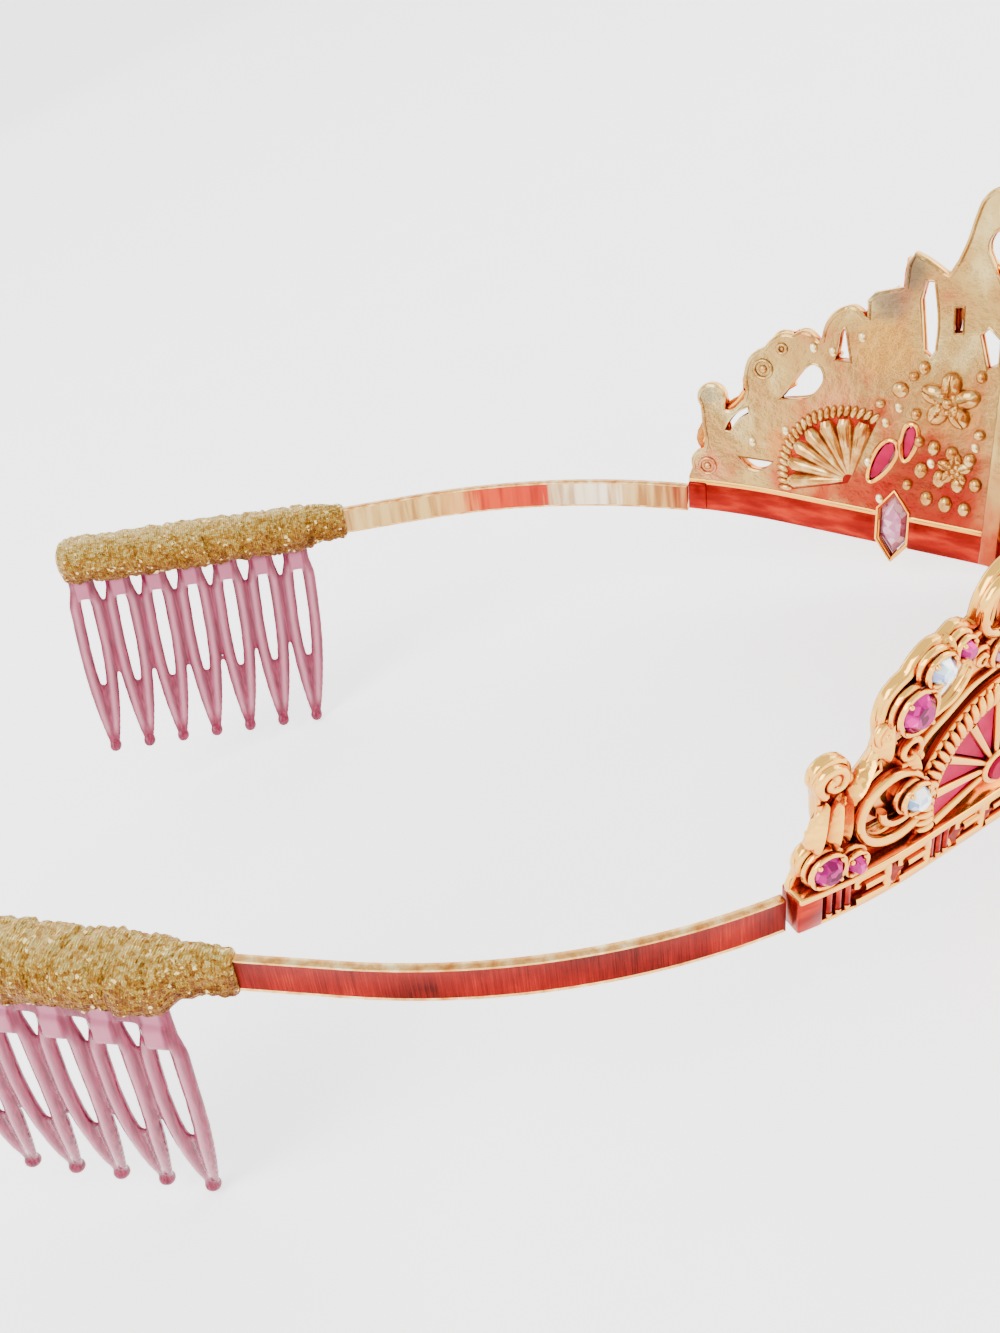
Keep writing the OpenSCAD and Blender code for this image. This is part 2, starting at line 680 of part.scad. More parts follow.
module comb() {
    color(pink_clear) {
        intersection() {
            translate([0, tooth_bow_r, 0]) rotate([0, 90, 0])
                translate([0, 0, -5]) difference() {
                    cylinder(r = tooth_bow_r + tooth_t / 2, h = teeth * tooth_pitch + 5, $fn = 180);
                    translate([0, 0, -1])
                        cylinder(r = tooth_bow_r - tooth_t / 2, h = teeth * tooth_pitch + 7, $fn = 180);
                }
            translate([0, 10, 0]) rotate([90, 0, 0])
                linear_extrude(20) difference() {
                    for (i = [0:teeth - 1])
                        translate([i * tooth_pitch, 0]) polygon(form_outline(tooth_form));
                    for (i = [0:teeth - 1])
                        translate([i * tooth_pitch, 0]) polygon(form_outline(slit_form));
                }
        }
        for (i = [0:teeth - 1]) translate([i * tooth_pitch, 0, 0]) {
            translate([tooth_lean, bow(tooth_l), -tooth_l])
                sphere(tip_r, $fn = 24);
            translate([-1.4, -tooth_t / 2 - 0.4, -2]) cube([2.8, tooth_t + 0.8, 4]);
        }
        translate([spine_front, -spine_t / 2, spine_low])
            cube([spine_rear - spine_front, spine_t, spine_top - spine_low]);
    }
}

hold_gap = 0.25;     // clearance of the strip and the comb inside the winding

// Section of the wound ribbon: centre outwards, centre height, half thickness, half height, and
// how much lower it hangs outside than inside.
wrap_sides = 16;
wrap_slant = 0.08;
function bulge(v) = sign(v) * pow(abs(v), 2 / 2.7);
function wrap_section(s, c, half, slant, rise) =
    [for (i = [0:wrap_sides - 1])
        let (a = 360 * i / wrap_sides, d = half.x * bulge(cos(a)), p = plan(s, c.x + d))
        [p.x, p.y, c.y + half.y * bulge(sin(a)) - slant * d + rise]];

// Sections along the wrap: arc length, centre outwards and up, half thickness and height, slant.
wrap_rows = [
    [tail_s, 0, 2.3, 1.35, 2.75, 0],
    [tail_s + 0.5, 0, 2.3, 1.6, 3, 0],
    [134.5, 0.1, 2.35, 1.8, 3.2, 0],
    [body_s - 1, 0.3, 2.3, 2.1, 3.3, 0],
    [body_s, 0.7, 2.0, 3.6, wrap_half_h - 0.2, wrap_slant],
    [body_s + 0.8, 0.75, 1.9, wrap_half_t, wrap_half_h, wrap_slant],
    [150, 0.75, 1.9, wrap_half_t + 0.1, wrap_half_h, wrap_slant],
    [163, 0.75, 1.9, wrap_half_t, wrap_half_h, wrap_slant],
    [wrap_end - 1.6, 0.75, 1.9, wrap_half_t, wrap_half_h - 0.1, wrap_slant],
    [wrap_end - 0.5, 0.75, 1.9, wrap_half_t - 0.5, wrap_half_h - 0.6, wrap_slant],
    [wrap_end, 0.75, 1.9, wrap_half_t - 1.4, wrap_half_h - 1.6, wrap_slant]];

function comb_lift(s) = max(0, s - comb_s) * tan(comb_rise);

module wrap() {
    points = [for (r = wrap_rows)
        each wrap_section(r[0], [r[1], r[2]], [r[3], r[4]], r[5], comb_lift(r[0]) * 0.9)];
    rows = len(wrap_rows);
    color(lame) difference() {
        polyhedron(points, concat(
            [[for (i = [wrap_sides - 1:-1:0]) i], [for (i = [0:wrap_sides - 1]) (rows - 1) * wrap_sides + i]],
            [for (k = [0:rows - 2], i = [0:wrap_sides - 1])
                let (j = (i + 1) % wrap_sides, b = k * wrap_sides)
                [b + i, b + j, b + wrap_sides + j, b + wrap_sides + i]]),
            convexity = 4);
        slab(tail_s - 1, band_end + 0.3, -grip_half - hold_gap, grip_half + hold_gap,
            grip_step - hold_gap, band_h - grip_step + hold_gap);
        comb_frame() translate([spine_front - hold_gap, -spine_t / 2 - hold_gap, -3])
            cube([spine_rear - spine_front + 2 * hold_gap, spine_t + 2 * hold_gap, spine_top + 3 + hold_gap]);
    }
}

// Rest position: pitched so that the first ball tips and the front of the rail touch the surface.
root_p = plan(comb_s, comb_out);
comb_h = heading(comb_s);
tip_y = root_p.y + (tooth_lean * cos(comb_rise) + tooth_l * sin(comb_rise)) * sin(comb_h)
    + bow(tooth_l) * cos(comb_h);
tip_z = -comb_drop + tooth_lean * sin(comb_rise) - tooth_l * cos(comb_rise);
front_y = -rail_out;
rest_pitch = atan2(rail_low - tip_z, tip_y - front_y)
    + asin(tip_r / norm([rail_low - tip_z, tip_y - front_y]));
rest_y = 68.324;       // from the front middle to the middle of the whole length
rest_z = -(front_y * sin(rest_pitch) + rail_low * cos(rest_pitch));

module stand() {
    translate([0, -rest_y, rest_z]) rotate([rest_pitch, 0, 0]) children();
}

module left() {
    stand() children();
}

module right() {
    stand() mirror([1, 0, 0]) children();
}

module stone(seat, tint) {
    color(tint) set_stone(seat);
}

front_casting();
left() side_band();  // side_band_left
right() side_band();  // side_band_right
left() comb_frame() comb();  // comb_left
right() comb_frame() comb();  // comb_right
left() wrap();  // wrap_left
right() wrap();  // wrap_right
left() fan_enamel();  // fan_enamel_left
right() fan_enamel();  // fan_enamel_right
left() petal_enamel();  // petal_enamel_left
right() petal_enamel();  // petal_enamel_right
stand() centre_enamel();
left() stone(end_oval, magenta);  // end_oval_left
right() stone(end_oval, magenta);  // end_oval_right
left() stone(end_round, magenta);  // end_round_left
right() stone(end_round, magenta);  // end_round_right
left() stone(volute_seat, ice);  // volute_stone_left
right() stone(volute_seat, ice);  // volute_stone_right
left() stone(crest_oval, magenta);  // crest_oval_left
right() stone(crest_oval, magenta);  // crest_oval_right
left() stone(ice_oval, ice);  // ice_oval_left
right() stone(ice_oval, ice);  // ice_oval_right
left() stone(crest_round, magenta);  // crest_round_left
right() stone(crest_round, magenta);  // crest_round_right
left() stone(arch_seat, blush);  // arch_stone_left
right() stone(arch_seat, blush);  // arch_stone_right
left() rail_stone();  // rail_stone_left
right() rail_stone();  // rail_stone_right
stand() stone(centre_seat, magenta);  // centre_stone
stand() stone(top_seat, ice);  // top_stone
left() stone(inner_seat, ice);  // inner_stone_left
right() stone(inner_seat, ice);  // inner_stone_right
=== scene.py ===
"""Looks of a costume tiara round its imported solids: a pierced and jewelled casting in front, two
lacquered strips, and two hair combs whose top bars are wound in gold ribbon."""
import json
import math

import bpy
import numpy as np
from mathutils import Matrix, Vector, noise


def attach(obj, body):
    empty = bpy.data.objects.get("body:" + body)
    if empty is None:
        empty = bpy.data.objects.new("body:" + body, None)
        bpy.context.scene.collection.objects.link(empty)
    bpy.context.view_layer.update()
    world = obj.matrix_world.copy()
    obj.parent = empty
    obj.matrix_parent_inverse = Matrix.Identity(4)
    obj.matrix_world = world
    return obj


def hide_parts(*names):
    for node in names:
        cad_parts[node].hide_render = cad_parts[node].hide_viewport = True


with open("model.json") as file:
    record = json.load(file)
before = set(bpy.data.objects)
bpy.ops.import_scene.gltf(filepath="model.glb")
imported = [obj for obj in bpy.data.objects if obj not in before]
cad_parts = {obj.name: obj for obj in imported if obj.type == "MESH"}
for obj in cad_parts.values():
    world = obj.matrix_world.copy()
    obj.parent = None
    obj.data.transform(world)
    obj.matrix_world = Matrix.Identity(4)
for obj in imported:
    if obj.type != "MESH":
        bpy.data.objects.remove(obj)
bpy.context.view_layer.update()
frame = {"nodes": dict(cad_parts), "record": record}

# Camera and studio. The view is from above the tiara's right side, with the combs at the left of
# the picture and the casting running off to the right. Lengths are millimetres in the tiara's own
# upright frame, whose origin is the front of the strip line; it rests pitched up at the rear.
REST_PITCH = math.radians(17.1526)
FRONT_TO_MIDDLE = 68.324
REST_LIFT = -0.1309
MM = 0.001
EYE = (-150.598, 66.835, 102.8)
EYE_RIGHT = (0.014458, -0.993904, -0.109297)
EYE_UP = (0.551924, -0.083214, 0.829732)
EYE_BACK = (-0.833769, -0.07232, 0.547356)
LENS = 36.4

rest = (Matrix.Translation((0, -FRONT_TO_MIDDLE * MM, REST_LIFT * MM))
        @ Matrix.Rotation(REST_PITCH, 4, 'X'))
view = Matrix((EYE_RIGHT, EYE_UP, EYE_BACK)).transposed().to_4x4()
view.translation = Vector(EYE) * MM
bpy.ops.object.camera_add()
camera = bpy.context.object
camera.matrix_world = rest @ view
camera.data.lens = LENS
camera.data.sensor_width = 36
camera.data.clip_start = 0.01
bpy.context.scene.camera = camera


def tint(code):
    """Linear colour of an sRGB hex value."""
    parts = [int(code[i:i + 2], 16) / 255 for i in (1, 3, 5)]
    return tuple(c / 12.92 if c < 0.04045 else ((c + 0.055) / 1.055) ** 2.4 for c in parts) + (1,)


def fill(tree, node, sockets):
    """Gives a node's sockets a constant, an output, or the first output of another node."""
    for key, value in sockets.items():
        if isinstance(value, bpy.types.Node):
            value = value.outputs[0]
        if isinstance(value, bpy.types.NodeSocket):
            tree.links.new(value, node.inputs[key])
        else:
            node.inputs[key].default_value = value


def add(tree, kind, sockets=None, ramp=None, **settings):
    """Adds a shader node with its settings, sockets and colour ramp."""
    made = tree.nodes.new("ShaderNode" + kind)
    for key, value in settings.items():
        setattr(made, key, value)
    fill(tree, made, sockets or {})
    if ramp:
        stops = made.color_ramp.elements
        while len(stops) < len(ramp):
            stops.new(1)
        for stop, (place, colour) in zip(stops, ramp):
            stop.position = place
            stop.color = tint(colour)
    return made


def finish_of(name):
    """A new material: its node tree, its shader and itself."""
    made = bpy.data.materials.new(name)
    made.use_nodes = True
    tree = made.node_tree
    return tree, tree.nodes["Principled BSDF"], made


# A sheet of white paper that sweeps up behind the tiara with no crease.
FLOOR_SIZE, FLOOR_Z, WALL_H, SWEEP = 24, -0.0002, 9, 8
bpy.ops.object.select_all(action='DESELECT')
bpy.ops.mesh.primitive_plane_add(size=FLOOR_SIZE, location=(0, 0, FLOOR_Z))
floor = bpy.context.object
bpy.ops.object.transform_apply()
for edge in floor.data.edges:
    edge.select = all(floor.data.vertices[v].co.x > 1 for v in edge.vertices)
for vertex in floor.data.vertices:
    vertex.select = vertex.co.x > 1
bpy.ops.object.mode_set(mode='EDIT')
bpy.ops.mesh.extrude_edges_move(TRANSFORM_OT_translate={"value": (0, 0, WALL_H)})
bpy.ops.object.mode_set(mode='OBJECT')
sweep = floor.modifiers.new("sweep", 'BEVEL')
sweep.width = SWEEP
sweep.segments = 24
bpy.ops.object.modifier_apply(modifier="sweep")
bpy.ops.object.shade_smooth()
floor.name = "studio_floor"
tree, shader, paper = finish_of("matt_white_paper")
grain = add(tree, "TexNoise", {"Scale": 900})
shade = add(tree, "ValToRGB", {"Fac": grain}, ramp=[(0.3, "#fafafa"), (0.7, "#ffffff")])
fill(tree, shader, {"Base Color": shade, "Roughness": 0.9, "Emission Color": tint("#ffffff"),
                    "Emission Strength": 1.05})
floor.data.materials.append(paper)

# The room: white above, a warm darker band at the horizon, which the polished casting mirrors.
room = bpy.data.worlds.new("soft_studio")
bpy.context.scene.world = room
room.use_nodes = True
tree = room.node_tree
direction = add(tree, "TexCoord")
height = add(tree, "SeparateXYZ", {"Vector": direction.outputs["Generated"]})
sky = add(tree, "ValToRGB", {"Fac": height.outputs["Z"]},
          ramp=[(0.0, "#4a3024"), (0.12, "#94705c"), (0.28, "#ece2da"), (0.6, "#ffffff")])
fill(tree, tree.nodes["Background"], {"Color": sky, "Strength": 1.5})
#         name          place             size  power
LAMPS = [("key_window", (-0.5, 0.5, 0.9), 0.7, 12),
         ("front_fill", (0.3, -0.9, 0.6), 0.8, 7),
         ("rear_fill", (1.6, 1.4, 1.2), 1.2, 14)]
for name, place, size, power in LAMPS:
    bpy.ops.object.light_add(type='AREA', location=place)
    lamp = bpy.context.object
    lamp.name = name
    lamp.data.size = size
    lamp.data.energy = power
    lamp.rotation_euler = (-Vector(place)).to_track_quat('-Z', 'Y').to_euler()

# Side strips. Each is one length of thin brass strip, polished on its edges, with the outer face
# painted red as the reflection of a red surface below, bent to the horseshoe and let into the end
# of the casting.
NOSE_R, NOSE_ARC = 28, 26.5
SIDE_START, SIDE_R, SIDE_END = 55.5, 79, 119
STRIP_FROM, STRIP_TO = 72.5, 176.4
STRIP_H, STRIP_T = 4.45, 1.1
LEAN_FROM, LEAN_OUT, CREST_SCALE = 4, 0.07, 0.975
STRIP_RIM, INNER_RIM = 0.34, 0.3
SINK, INNER_SINK = 0.1, 0.05
INNER_ZONES_TO = 131

nose_turn = NOSE_ARC / NOSE_R
side_turn = (SIDE_END - SIDE_START) / SIDE_R
flat_start = np.array([NOSE_R * math.sin(nose_turn), NOSE_R * (1 - math.cos(nose_turn))])
flat_way = np.array([math.cos(nose_turn), math.sin(nose_turn)])
side_start = flat_start + (SIDE_START - NOSE_ARC) * flat_way
side_middle = side_start + SIDE_R * np.array([-math.sin(nose_turn), math.cos(nose_turn)])


def heading(s):
    """Direction of the strip line at arc length s from the front, in radians."""
    return np.where(s < NOSE_ARC, s / NOSE_R,
                    np.where(s < SIDE_START, nose_turn,
                             nose_turn + (np.minimum(s, SIDE_END) - SIDE_START) / SIDE_R))


def strip_line(s):
    """Point on the strip's middle line, seen from above."""
    turn = heading(s)
    along = np.stack([np.cos(turn), np.sin(turn)], -1)
    nose = NOSE_R * np.stack([np.sin(turn), 1 - np.cos(turn)], -1)
    flat = flat_start + (s - NOSE_ARC)[..., None] * along
    side = side_middle + SIDE_R * np.stack([np.sin(turn), -np.cos(turn)], -1)
    side = side + np.maximum(s - SIDE_END, 0)[..., None] * along
    behind = np.where((s < SIDE_START)[..., None], flat, side)
    return np.where((s < NOSE_ARC)[..., None], nose, behind)


def corners(thing):
    """A mesh's points as an array."""
    co = np.empty(len(thing.data.vertices) * 3)
    thing.data.vertices.foreach_get("co", co)
    return co.reshape(-1, 3)


def move_corners(thing, co):
    """Puts a mesh's points where an array says."""
    thing.data.vertices.foreach_set("co", np.ascontiguousarray(co).ravel())
    thing.data.update()


def stood(x, y, z):
    """Points of the tiara's upright frame in millimetres, as metres where it rests."""
    c, s = math.cos(REST_PITCH), math.sin(REST_PITCH)
    return np.stack([x, y * c - z * s - FRONT_TO_MIDDLE, y * s + z * c + REST_LIFT], 1) * MM


def bend(thing, side=1, leans=True):
    """Bends a piece made flat (x along the strip, -y outwards, z up) to the horseshoe."""
    co = corners(thing)
    s, n, z = co[:, 0], -co[:, 1], co[:, 2]
    rise = np.where(z < LEAN_FROM, z, LEAN_FROM + CREST_SCALE * (z - LEAN_FROM)) if leans else z
    over = LEAN_OUT * np.maximum(rise - LEAN_FROM, 0) if leans else 0 * z
    tip = np.clip((z - LEAN_FROM) / 2, 0, 1) * math.atan(LEAN_OUT) if leans else 0 * z
    turn = heading(np.abs(s)) * np.sign(s)
    line = strip_line(np.abs(s)) * np.stack([np.sign(s), np.ones_like(s)], 1)
    reach = over + n * np.cos(tip)
    x = line[:, 0] + reach * np.sin(turn)
    y = line[:, 1] - reach * np.cos(turn)
    move_corners(thing, stood(side * x, y, rise - n * np.sin(tip)))
    if side < 0:
        thing.data.flip_normals()


def only(thing):
    """Makes one piece the selected and active one."""
    bpy.ops.object.select_all(action='DESELECT')
    thing.select_set(True)
    bpy.context.view_layer.objects.active = thing
    return thing


def pick_faces(thing, test):
    """Selects the faces whose middle and normal pass the test, in edit mode."""
    bpy.ops.object.mode_set(mode='OBJECT')
    for part in (thing.data.vertices, thing.data.edges):
        part.foreach_set("select", [False] * len(part))
    for face in thing.data.polygons:
        face.select = test(face.center, face.normal)
    bpy.ops.object.mode_set(mode='EDIT')


def slice_across(thing, start, stop, step):
    """Cuts a flat piece across its length so that it can bend."""
    only(thing)
    bpy.ops.object.mode_set(mode='EDIT')
    for place in np.arange(start, stop, step):
        bpy.ops.mesh.select_all(action='SELECT')
        bpy.ops.mesh.bisect(plane_co=(place, 0, 0), plane_no=(1, 0, 0))
    bpy.ops.object.mode_set(mode='OBJECT')


def soften(thing, width, segments=2):
    """Rounds a piece's edges."""
    only(thing)
    rounding = thing.modifiers.new("rounding", 'BEVEL')
    rounding.width = width
    rounding.segments = segments
    rounding.limit_method = 'ANGLE'
    bpy.ops.object.modifier_apply(modifier="rounding")


def twin(thing, name):
    """A copy of a piece with its own mesh."""
    copy = thing.copy()
    copy.data = thing.data.copy()
    copy.name = name
    bpy.context.collection.objects.link(copy)
    return copy


def smooth(thing, angle=40):
    """Shades a piece smooth, with its edges past the angle kept crisp."""
    only(thing)
    bpy.ops.object.shade_smooth_by_angle(angle=math.radians(angle))


def block(middle, size):
    """A plain block, ready to be shaped."""
    bpy.ops.object.select_all(action='DESELECT')
    bpy.ops.mesh.primitive_cube_add(size=1, location=middle, scale=size)
    bpy.ops.object.transform_apply()
    return bpy.context.object


strip = block(((STRIP_FROM + STRIP_TO) / 2, 0, STRIP_H / 2),
              (STRIP_TO - STRIP_FROM, STRIP_T, STRIP_H))
pick_faces(strip, lambda middle, normal: normal.y < -0.9)
bpy.ops.mesh.inset(thickness=STRIP_RIM)
bpy.ops.transform.translate(value=(0, SINK, 0))
pick_faces(strip, lambda middle, normal: normal.y > 0.9)
bpy.ops.mesh.inset(thickness=INNER_RIM)
bpy.ops.transform.translate(value=(0, -INNER_SINK, 0))
bpy.ops.object.mode_set(mode='OBJECT')
soften(strip, 0.08)
slice_across(strip, STRIP_FROM + 2, STRIP_TO, 2)

# Polished brass edge: pale gold, with fine draw marks along the strip.
tree, shader, edge_brass = finish_of("polished_brass_edge")
place = add(tree, "TexCoord").outputs["Object"]
marks = add(tree, "TexNoise", {"Vector": place, "Scale": 700, "Detail": 3})
shade = add(tree, "ValToRGB", {"Fac": marks},
            ramp=[(0.3, "#b9742e"), (0.55, "#deab62"), (0.75, "#f4d79c")])
fill(tree, shader, {"Base Color": shade, "Metallic": 1, "Roughness": 0.24})

# Brushed brass painted red as the reflection of a red surface below: the brushing shows as fine
# upright streaks through it.
tree, shader, red_reflection_paint = finish_of("brushed_brass_painted_red_reflection")
place = add(tree, "Attribute", attribute_name="flat").outputs["Vector"]
streak_size = add(tree, "Mapping", {"Vector": place, "Scale": (5, 1, 0.12)})
streaks = add(tree, "TexNoise", {"Vector": streak_size, "Scale": 1.6, "Detail": 5,
                                 "Roughness": 0.72})
cloud_size = add(tree, "Mapping", {"Vector": place, "Scale": (0.09, 1, 0.1)})
clouds = add(tree, "TexNoise", {"Vector": cloud_size, "Scale": 1.2, "Detail": 3})
both = add(tree, "Math", {0: streaks, 1: clouds}, operation='ADD')
evened = add(tree, "Math", {0: both, 1: 0.5}, operation='MULTIPLY')
# painted reflection: this red ramp stands for a red surface below mirrored in the brass
shade = add(tree, "ValToRGB", {"Fac": evened},
            ramp=[(0.36, "#2c0301"), (0.44, "#5c0a03"), (0.52, "#780c05"), (0.6, "#901608"),
                  (0.7, "#c84e24")])
ridges = add(tree, "Bump", {"Height": streaks, "Strength": 0.35, "Distance": 0.00006})
fill(tree, shader, {"Base Color": shade, "Normal": ridges, "Metallic": 0.92, "Roughness": 0.4})

# Inner face: rolled brass with painted reflections in soft upright zones, gold, orange and red,
# and upright bands of painted sheen and shade over them.
tree, shader, inner_brass = finish_of("brass_with_painted_reflections")
place = add(tree, "Attribute", attribute_name="flat").outputs["Vector"]
along = add(tree, "SeparateXYZ", {"Vector": place})
sheen_band_size = add(tree, "Mapping", {"Vector": place, "Scale": (0.62, 1, 0.05)})
sheen_bands = add(tree, "TexNoise", {"Vector": sheen_band_size, "Scale": 1.1, "Detail": 3})
reach = add(tree, "MapRange", {"Value": along.outputs["X"], "From Min": STRIP_FROM,
                               "From Max": INNER_ZONES_TO,
                               "To Min": -0.08, "To Max": 0.92})
ragged = add(tree, "Math", {0: sheen_bands, 1: 0.16, 2: reach}, operation='MULTIPLY_ADD')
# painted reflection: gold, orange and red zones along the strip
painted_reflection_zones = add(tree, "ValToRGB", {"Fac": ragged},
            ramp=[(0, "#a8481c"), (0.06, "#c79a58"), (0.2, "#d2ac70"), (0.24, "#efe2c8"),
                  (0.38, "#e4cfa6"), (0.42, "#b42a12"), (0.6, "#c23c18"), (0.66, "#d2894a"),
                  (0.73, "#c8a25c"), (0.95, "#c9a968")])
# painted sheen: pale upright bands, darker between them
painted_sheen = add(tree, "ValToRGB", {"Fac": sheen_bands},
           ramp=[(0.35, "#b98f68"), (0.5, "#f2e6d6"), (0.62, "#ffffff")])
shade = add(tree, "Mix", {"Factor": 0.8, "A": painted_reflection_zones, "B": painted_sheen},
            data_type='RGBA', blend_type='MULTIPLY')
fill(tree, shader, {"Base Color": shade.outputs["Result"], "Metallic": 0.75, "Roughness": 0.3})


def keep_flat(thing):
    """Stores where each point lay before bending, for patterns that follow the strip."""
    flat = thing.data.attributes.new("flat", 'FLOAT_VECTOR', 'POINT')
    flat.data.foreach_set("vector", corners(thing).ravel())


keep_flat(strip)
for finish in (edge_brass, red_reflection_paint, inner_brass):
    strip.data.materials.append(finish)
for face in strip.data.polygons:
    if STRIP_RIM - 0.05 < face.center.z < STRIP_H - STRIP_RIM + 0.05:
        face.material_index = 1 if face.normal.y < -0.7 else 2 if face.normal.y > 0.7 else 0
for side, name in ((1, "left"), (-1, "right")):
    piece = twin(strip, "strip_" + name)
    bend(piece, side, leans=False)
    smooth(piece)
    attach(piece, "root")
    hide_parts("side_band_" + name)
bpy.data.objects.remove(strip)

# Combs. Each is one moulding of clear pink plastic: seven hairpin teeth with ball tips on a bar,
# which stands up inside the winding.
COMB_S, COMB_OUT, COMB_DROP, COMB_RISE = 140.3, 2.9, 4.97, math.radians(2.1)
TOOTH_PITCH, TEETH, TOOTH_L, TOOTH_LEAN = 6.03, 7, 30.4, 1.1
BALL_R, BOW_R, PRONG_FLAT = 1.1, 160, 0.68
#         depth  off the tooth's middle  half width
PRONG = [(-4.5, 1.2, 0.95),
         (0, 1.3, 0.95),
         (3, 1.85, 1.12),
         (11, 1.92, 1.1),
         (16, 1.75, 1.12),
         (20, 1.38, 1.15),
         (24, 1.05, 0.98),
         (28, 0.62, 0.72),
         (30.2, 0.2, 0.62)]
PAD, WEB, COMB_BAR = (2.9, 2.4, 3.6), (1.4, 0.55, 9.5), (38, 1.4, 6.2)
PAD_UP, WEB_DOWN, BAR_MIDDLE = 0.2, 23.4, (17.7, 0, 5)
RIB_UP, RIB_WIDE, RIB_STARTS, RIB_ENDS = 0.2, 0.42, 3, 28.5
PAD_HALF, PAD_ENDS = 1.2, 2.3
MELT, RELAX = 0.24, 8


def from_table(table, column, at):
    """A column of a table, read smoothly at values of its first column."""
    return np.interp(at, [row[0] for row in table], [row[column] for row in table])


def meshed(curve, lines, radii=1.0, closed=True):
    """Draws a curve through runs of points and turns it into a mesh."""
    for line in lines:
        spline = curve.splines.new('POLY')
        spline.points.add(len(line) - 1)
        spline.use_cyclic_u = closed
        for knot, point, radius in zip(spline.points, line, np.broadcast_to(radii, len(line))):
            knot.co = (*point, 1)
            knot.radius = radius
    thing = bpy.data.objects.new(curve.name, curve)
    bpy.context.collection.objects.link(thing)
    only(thing)
    bpy.ops.object.convert(target='MESH')
    return bpy.context.object


def tube(name, points, radii, sides=3, closed=False):
    """A round bar along points, with one radius or a radius at each point."""
    curve = bpy.data.curves.new(name, 'CURVE')
    curve.dimensions = '3D'
    curve.bevel_depth = 1
    curve.bevel_resolution = sides
    curve.use_fill_caps = True
    return meshed(curve, [points], radii, closed)


def joined(things, name):
    """Joins pieces into one."""
    bpy.ops.object.select_all(action='DESELECT')
    for thing in things:
        thing.select_set(True)
    bpy.context.view_layer.objects.active = things[0]
    bpy.ops.object.join()
    things[0].name = name
    return things[0]


depths = np.linspace(PRONG[0][0], PRONG[-1][0], 40)
tooth_parts = []
for hand in (-1, 1):
    prong = tube("prong", [(hand * x, 0, -d) for x, d in zip(from_table(PRONG, 1, depths), depths)],
                 from_table(PRONG, 2, depths))
    co = corners(prong)
    co[:, 1] *= PRONG_FLAT
    move_corners(prong, co)
    tooth_parts.append(prong)
bpy.ops.object.select_all(action='DESELECT')
bpy.ops.mesh.primitive_uv_sphere_add(segments=20, ring_count=12, radius=BALL_R,
                                     location=(0, 0, -TOOTH_L))
bpy.ops.object.transform_apply()
tooth_parts.append(bpy.context.object)
tooth_parts.append(block((0, 0, PAD_UP), PAD))
soften(tooth_parts[-1], 0.5, 3)
tooth_parts.append(block((0, 0, -WEB_DOWN), WEB))
tooth = joined(tooth_parts, "tooth")
co = corners(tooth)
depth = np.maximum(-co[:, 2], 0)
co[:, 0] += TOOTH_LEAN * depth / TOOTH_L
co[:, 1] += BOW_R - np.sqrt(BOW_R ** 2 - depth ** 2)
move_corners(tooth, co)
comb_parts = []
for i in range(TEETH):
    piece = twin(tooth, "tooth_" + str(i))
    piece.data.transform(Matrix.Translation((i * TOOTH_PITCH, 0, 0)))
    comb_parts.append(piece)
bpy.data.objects.remove(tooth)
comb_parts.append(block(BAR_MIDDLE, COMB_BAR))
comb = joined(comb_parts, "comb")
melt = comb.modifiers.new("melt", 'REMESH')
melt.mode = 'VOXEL'
melt.voxel_size = MELT
bpy.ops.object.modifier_apply(modifier="melt")
relax = comb.modifiers.new("relax", 'SMOOTH')
relax.factor = 0.5
relax.iterations = RELAX
bpy.ops.object.modifier_apply(modifier="relax")

co = corners(comb)
depth = -co[:, 2]
shift = TOOTH_LEAN * np.maximum(depth, 0) / TOOTH_L
number = np.clip(np.round((co[:, 0] - shift) / TOOTH_PITCH), 0, TEETH - 1)
across = np.abs(co[:, 0] - shift - number * TOOTH_PITCH)
bowed = BOW_R - np.sqrt(BOW_R ** 2 - np.maximum(depth, 0) ** 2)
rib = np.exp(-((across - from_table(PRONG, 1, depth)) / RIB_WIDE) ** 2)
rib *= np.clip(depth / RIB_STARTS, 0, 1) * np.clip((RIB_ENDS - depth) / 2, 0, 1)
pad = np.clip((PAD_HALF - across) / 0.3, 0, 1) * np.clip((PAD_ENDS - depth) / 0.4, 0, 1)
co[:, 1] += RIB_UP * rib * np.sign(co[:, 1] - bowed)
move_corners(comb, co)


def store(thing, label, values):
    """Stores a value for each point of a piece, for its material."""
    kept = thing.data.attributes.new(label, 'FLOAT', 'POINT')
    kept.data.foreach_set("value", values)


store(comb, "rib", rib)
store(comb, "pad", pad)

# Moulded clear pink plastic: smooth, with a painted highlight along the ribs of the teeth, and
# milky root pads. Its mirrored white room is held back, or the studio would bleach the pink.
tree, shader, clear_pink = finish_of("moulded_clear_pink_plastic")
place = add(tree, "Attribute", attribute_name="flat").outputs["Vector"]
ribbed = add(tree, "Attribute", attribute_name="rib")
padded = add(tree, "Attribute", attribute_name="pad")
flow_size = add(tree, "Mapping", {"Vector": place, "Scale": (2.2, 2.2, 0.12)})
flow = add(tree, "TexNoise", {"Vector": flow_size, "Scale": 1.4, "Detail": 3})
body_tint = add(tree, "ValToRGB", {"Fac": flow},
                ramp=[(0.3, "#5c0a24"), (0.5, "#7e1a3a"), (0.7, "#9a3050")])
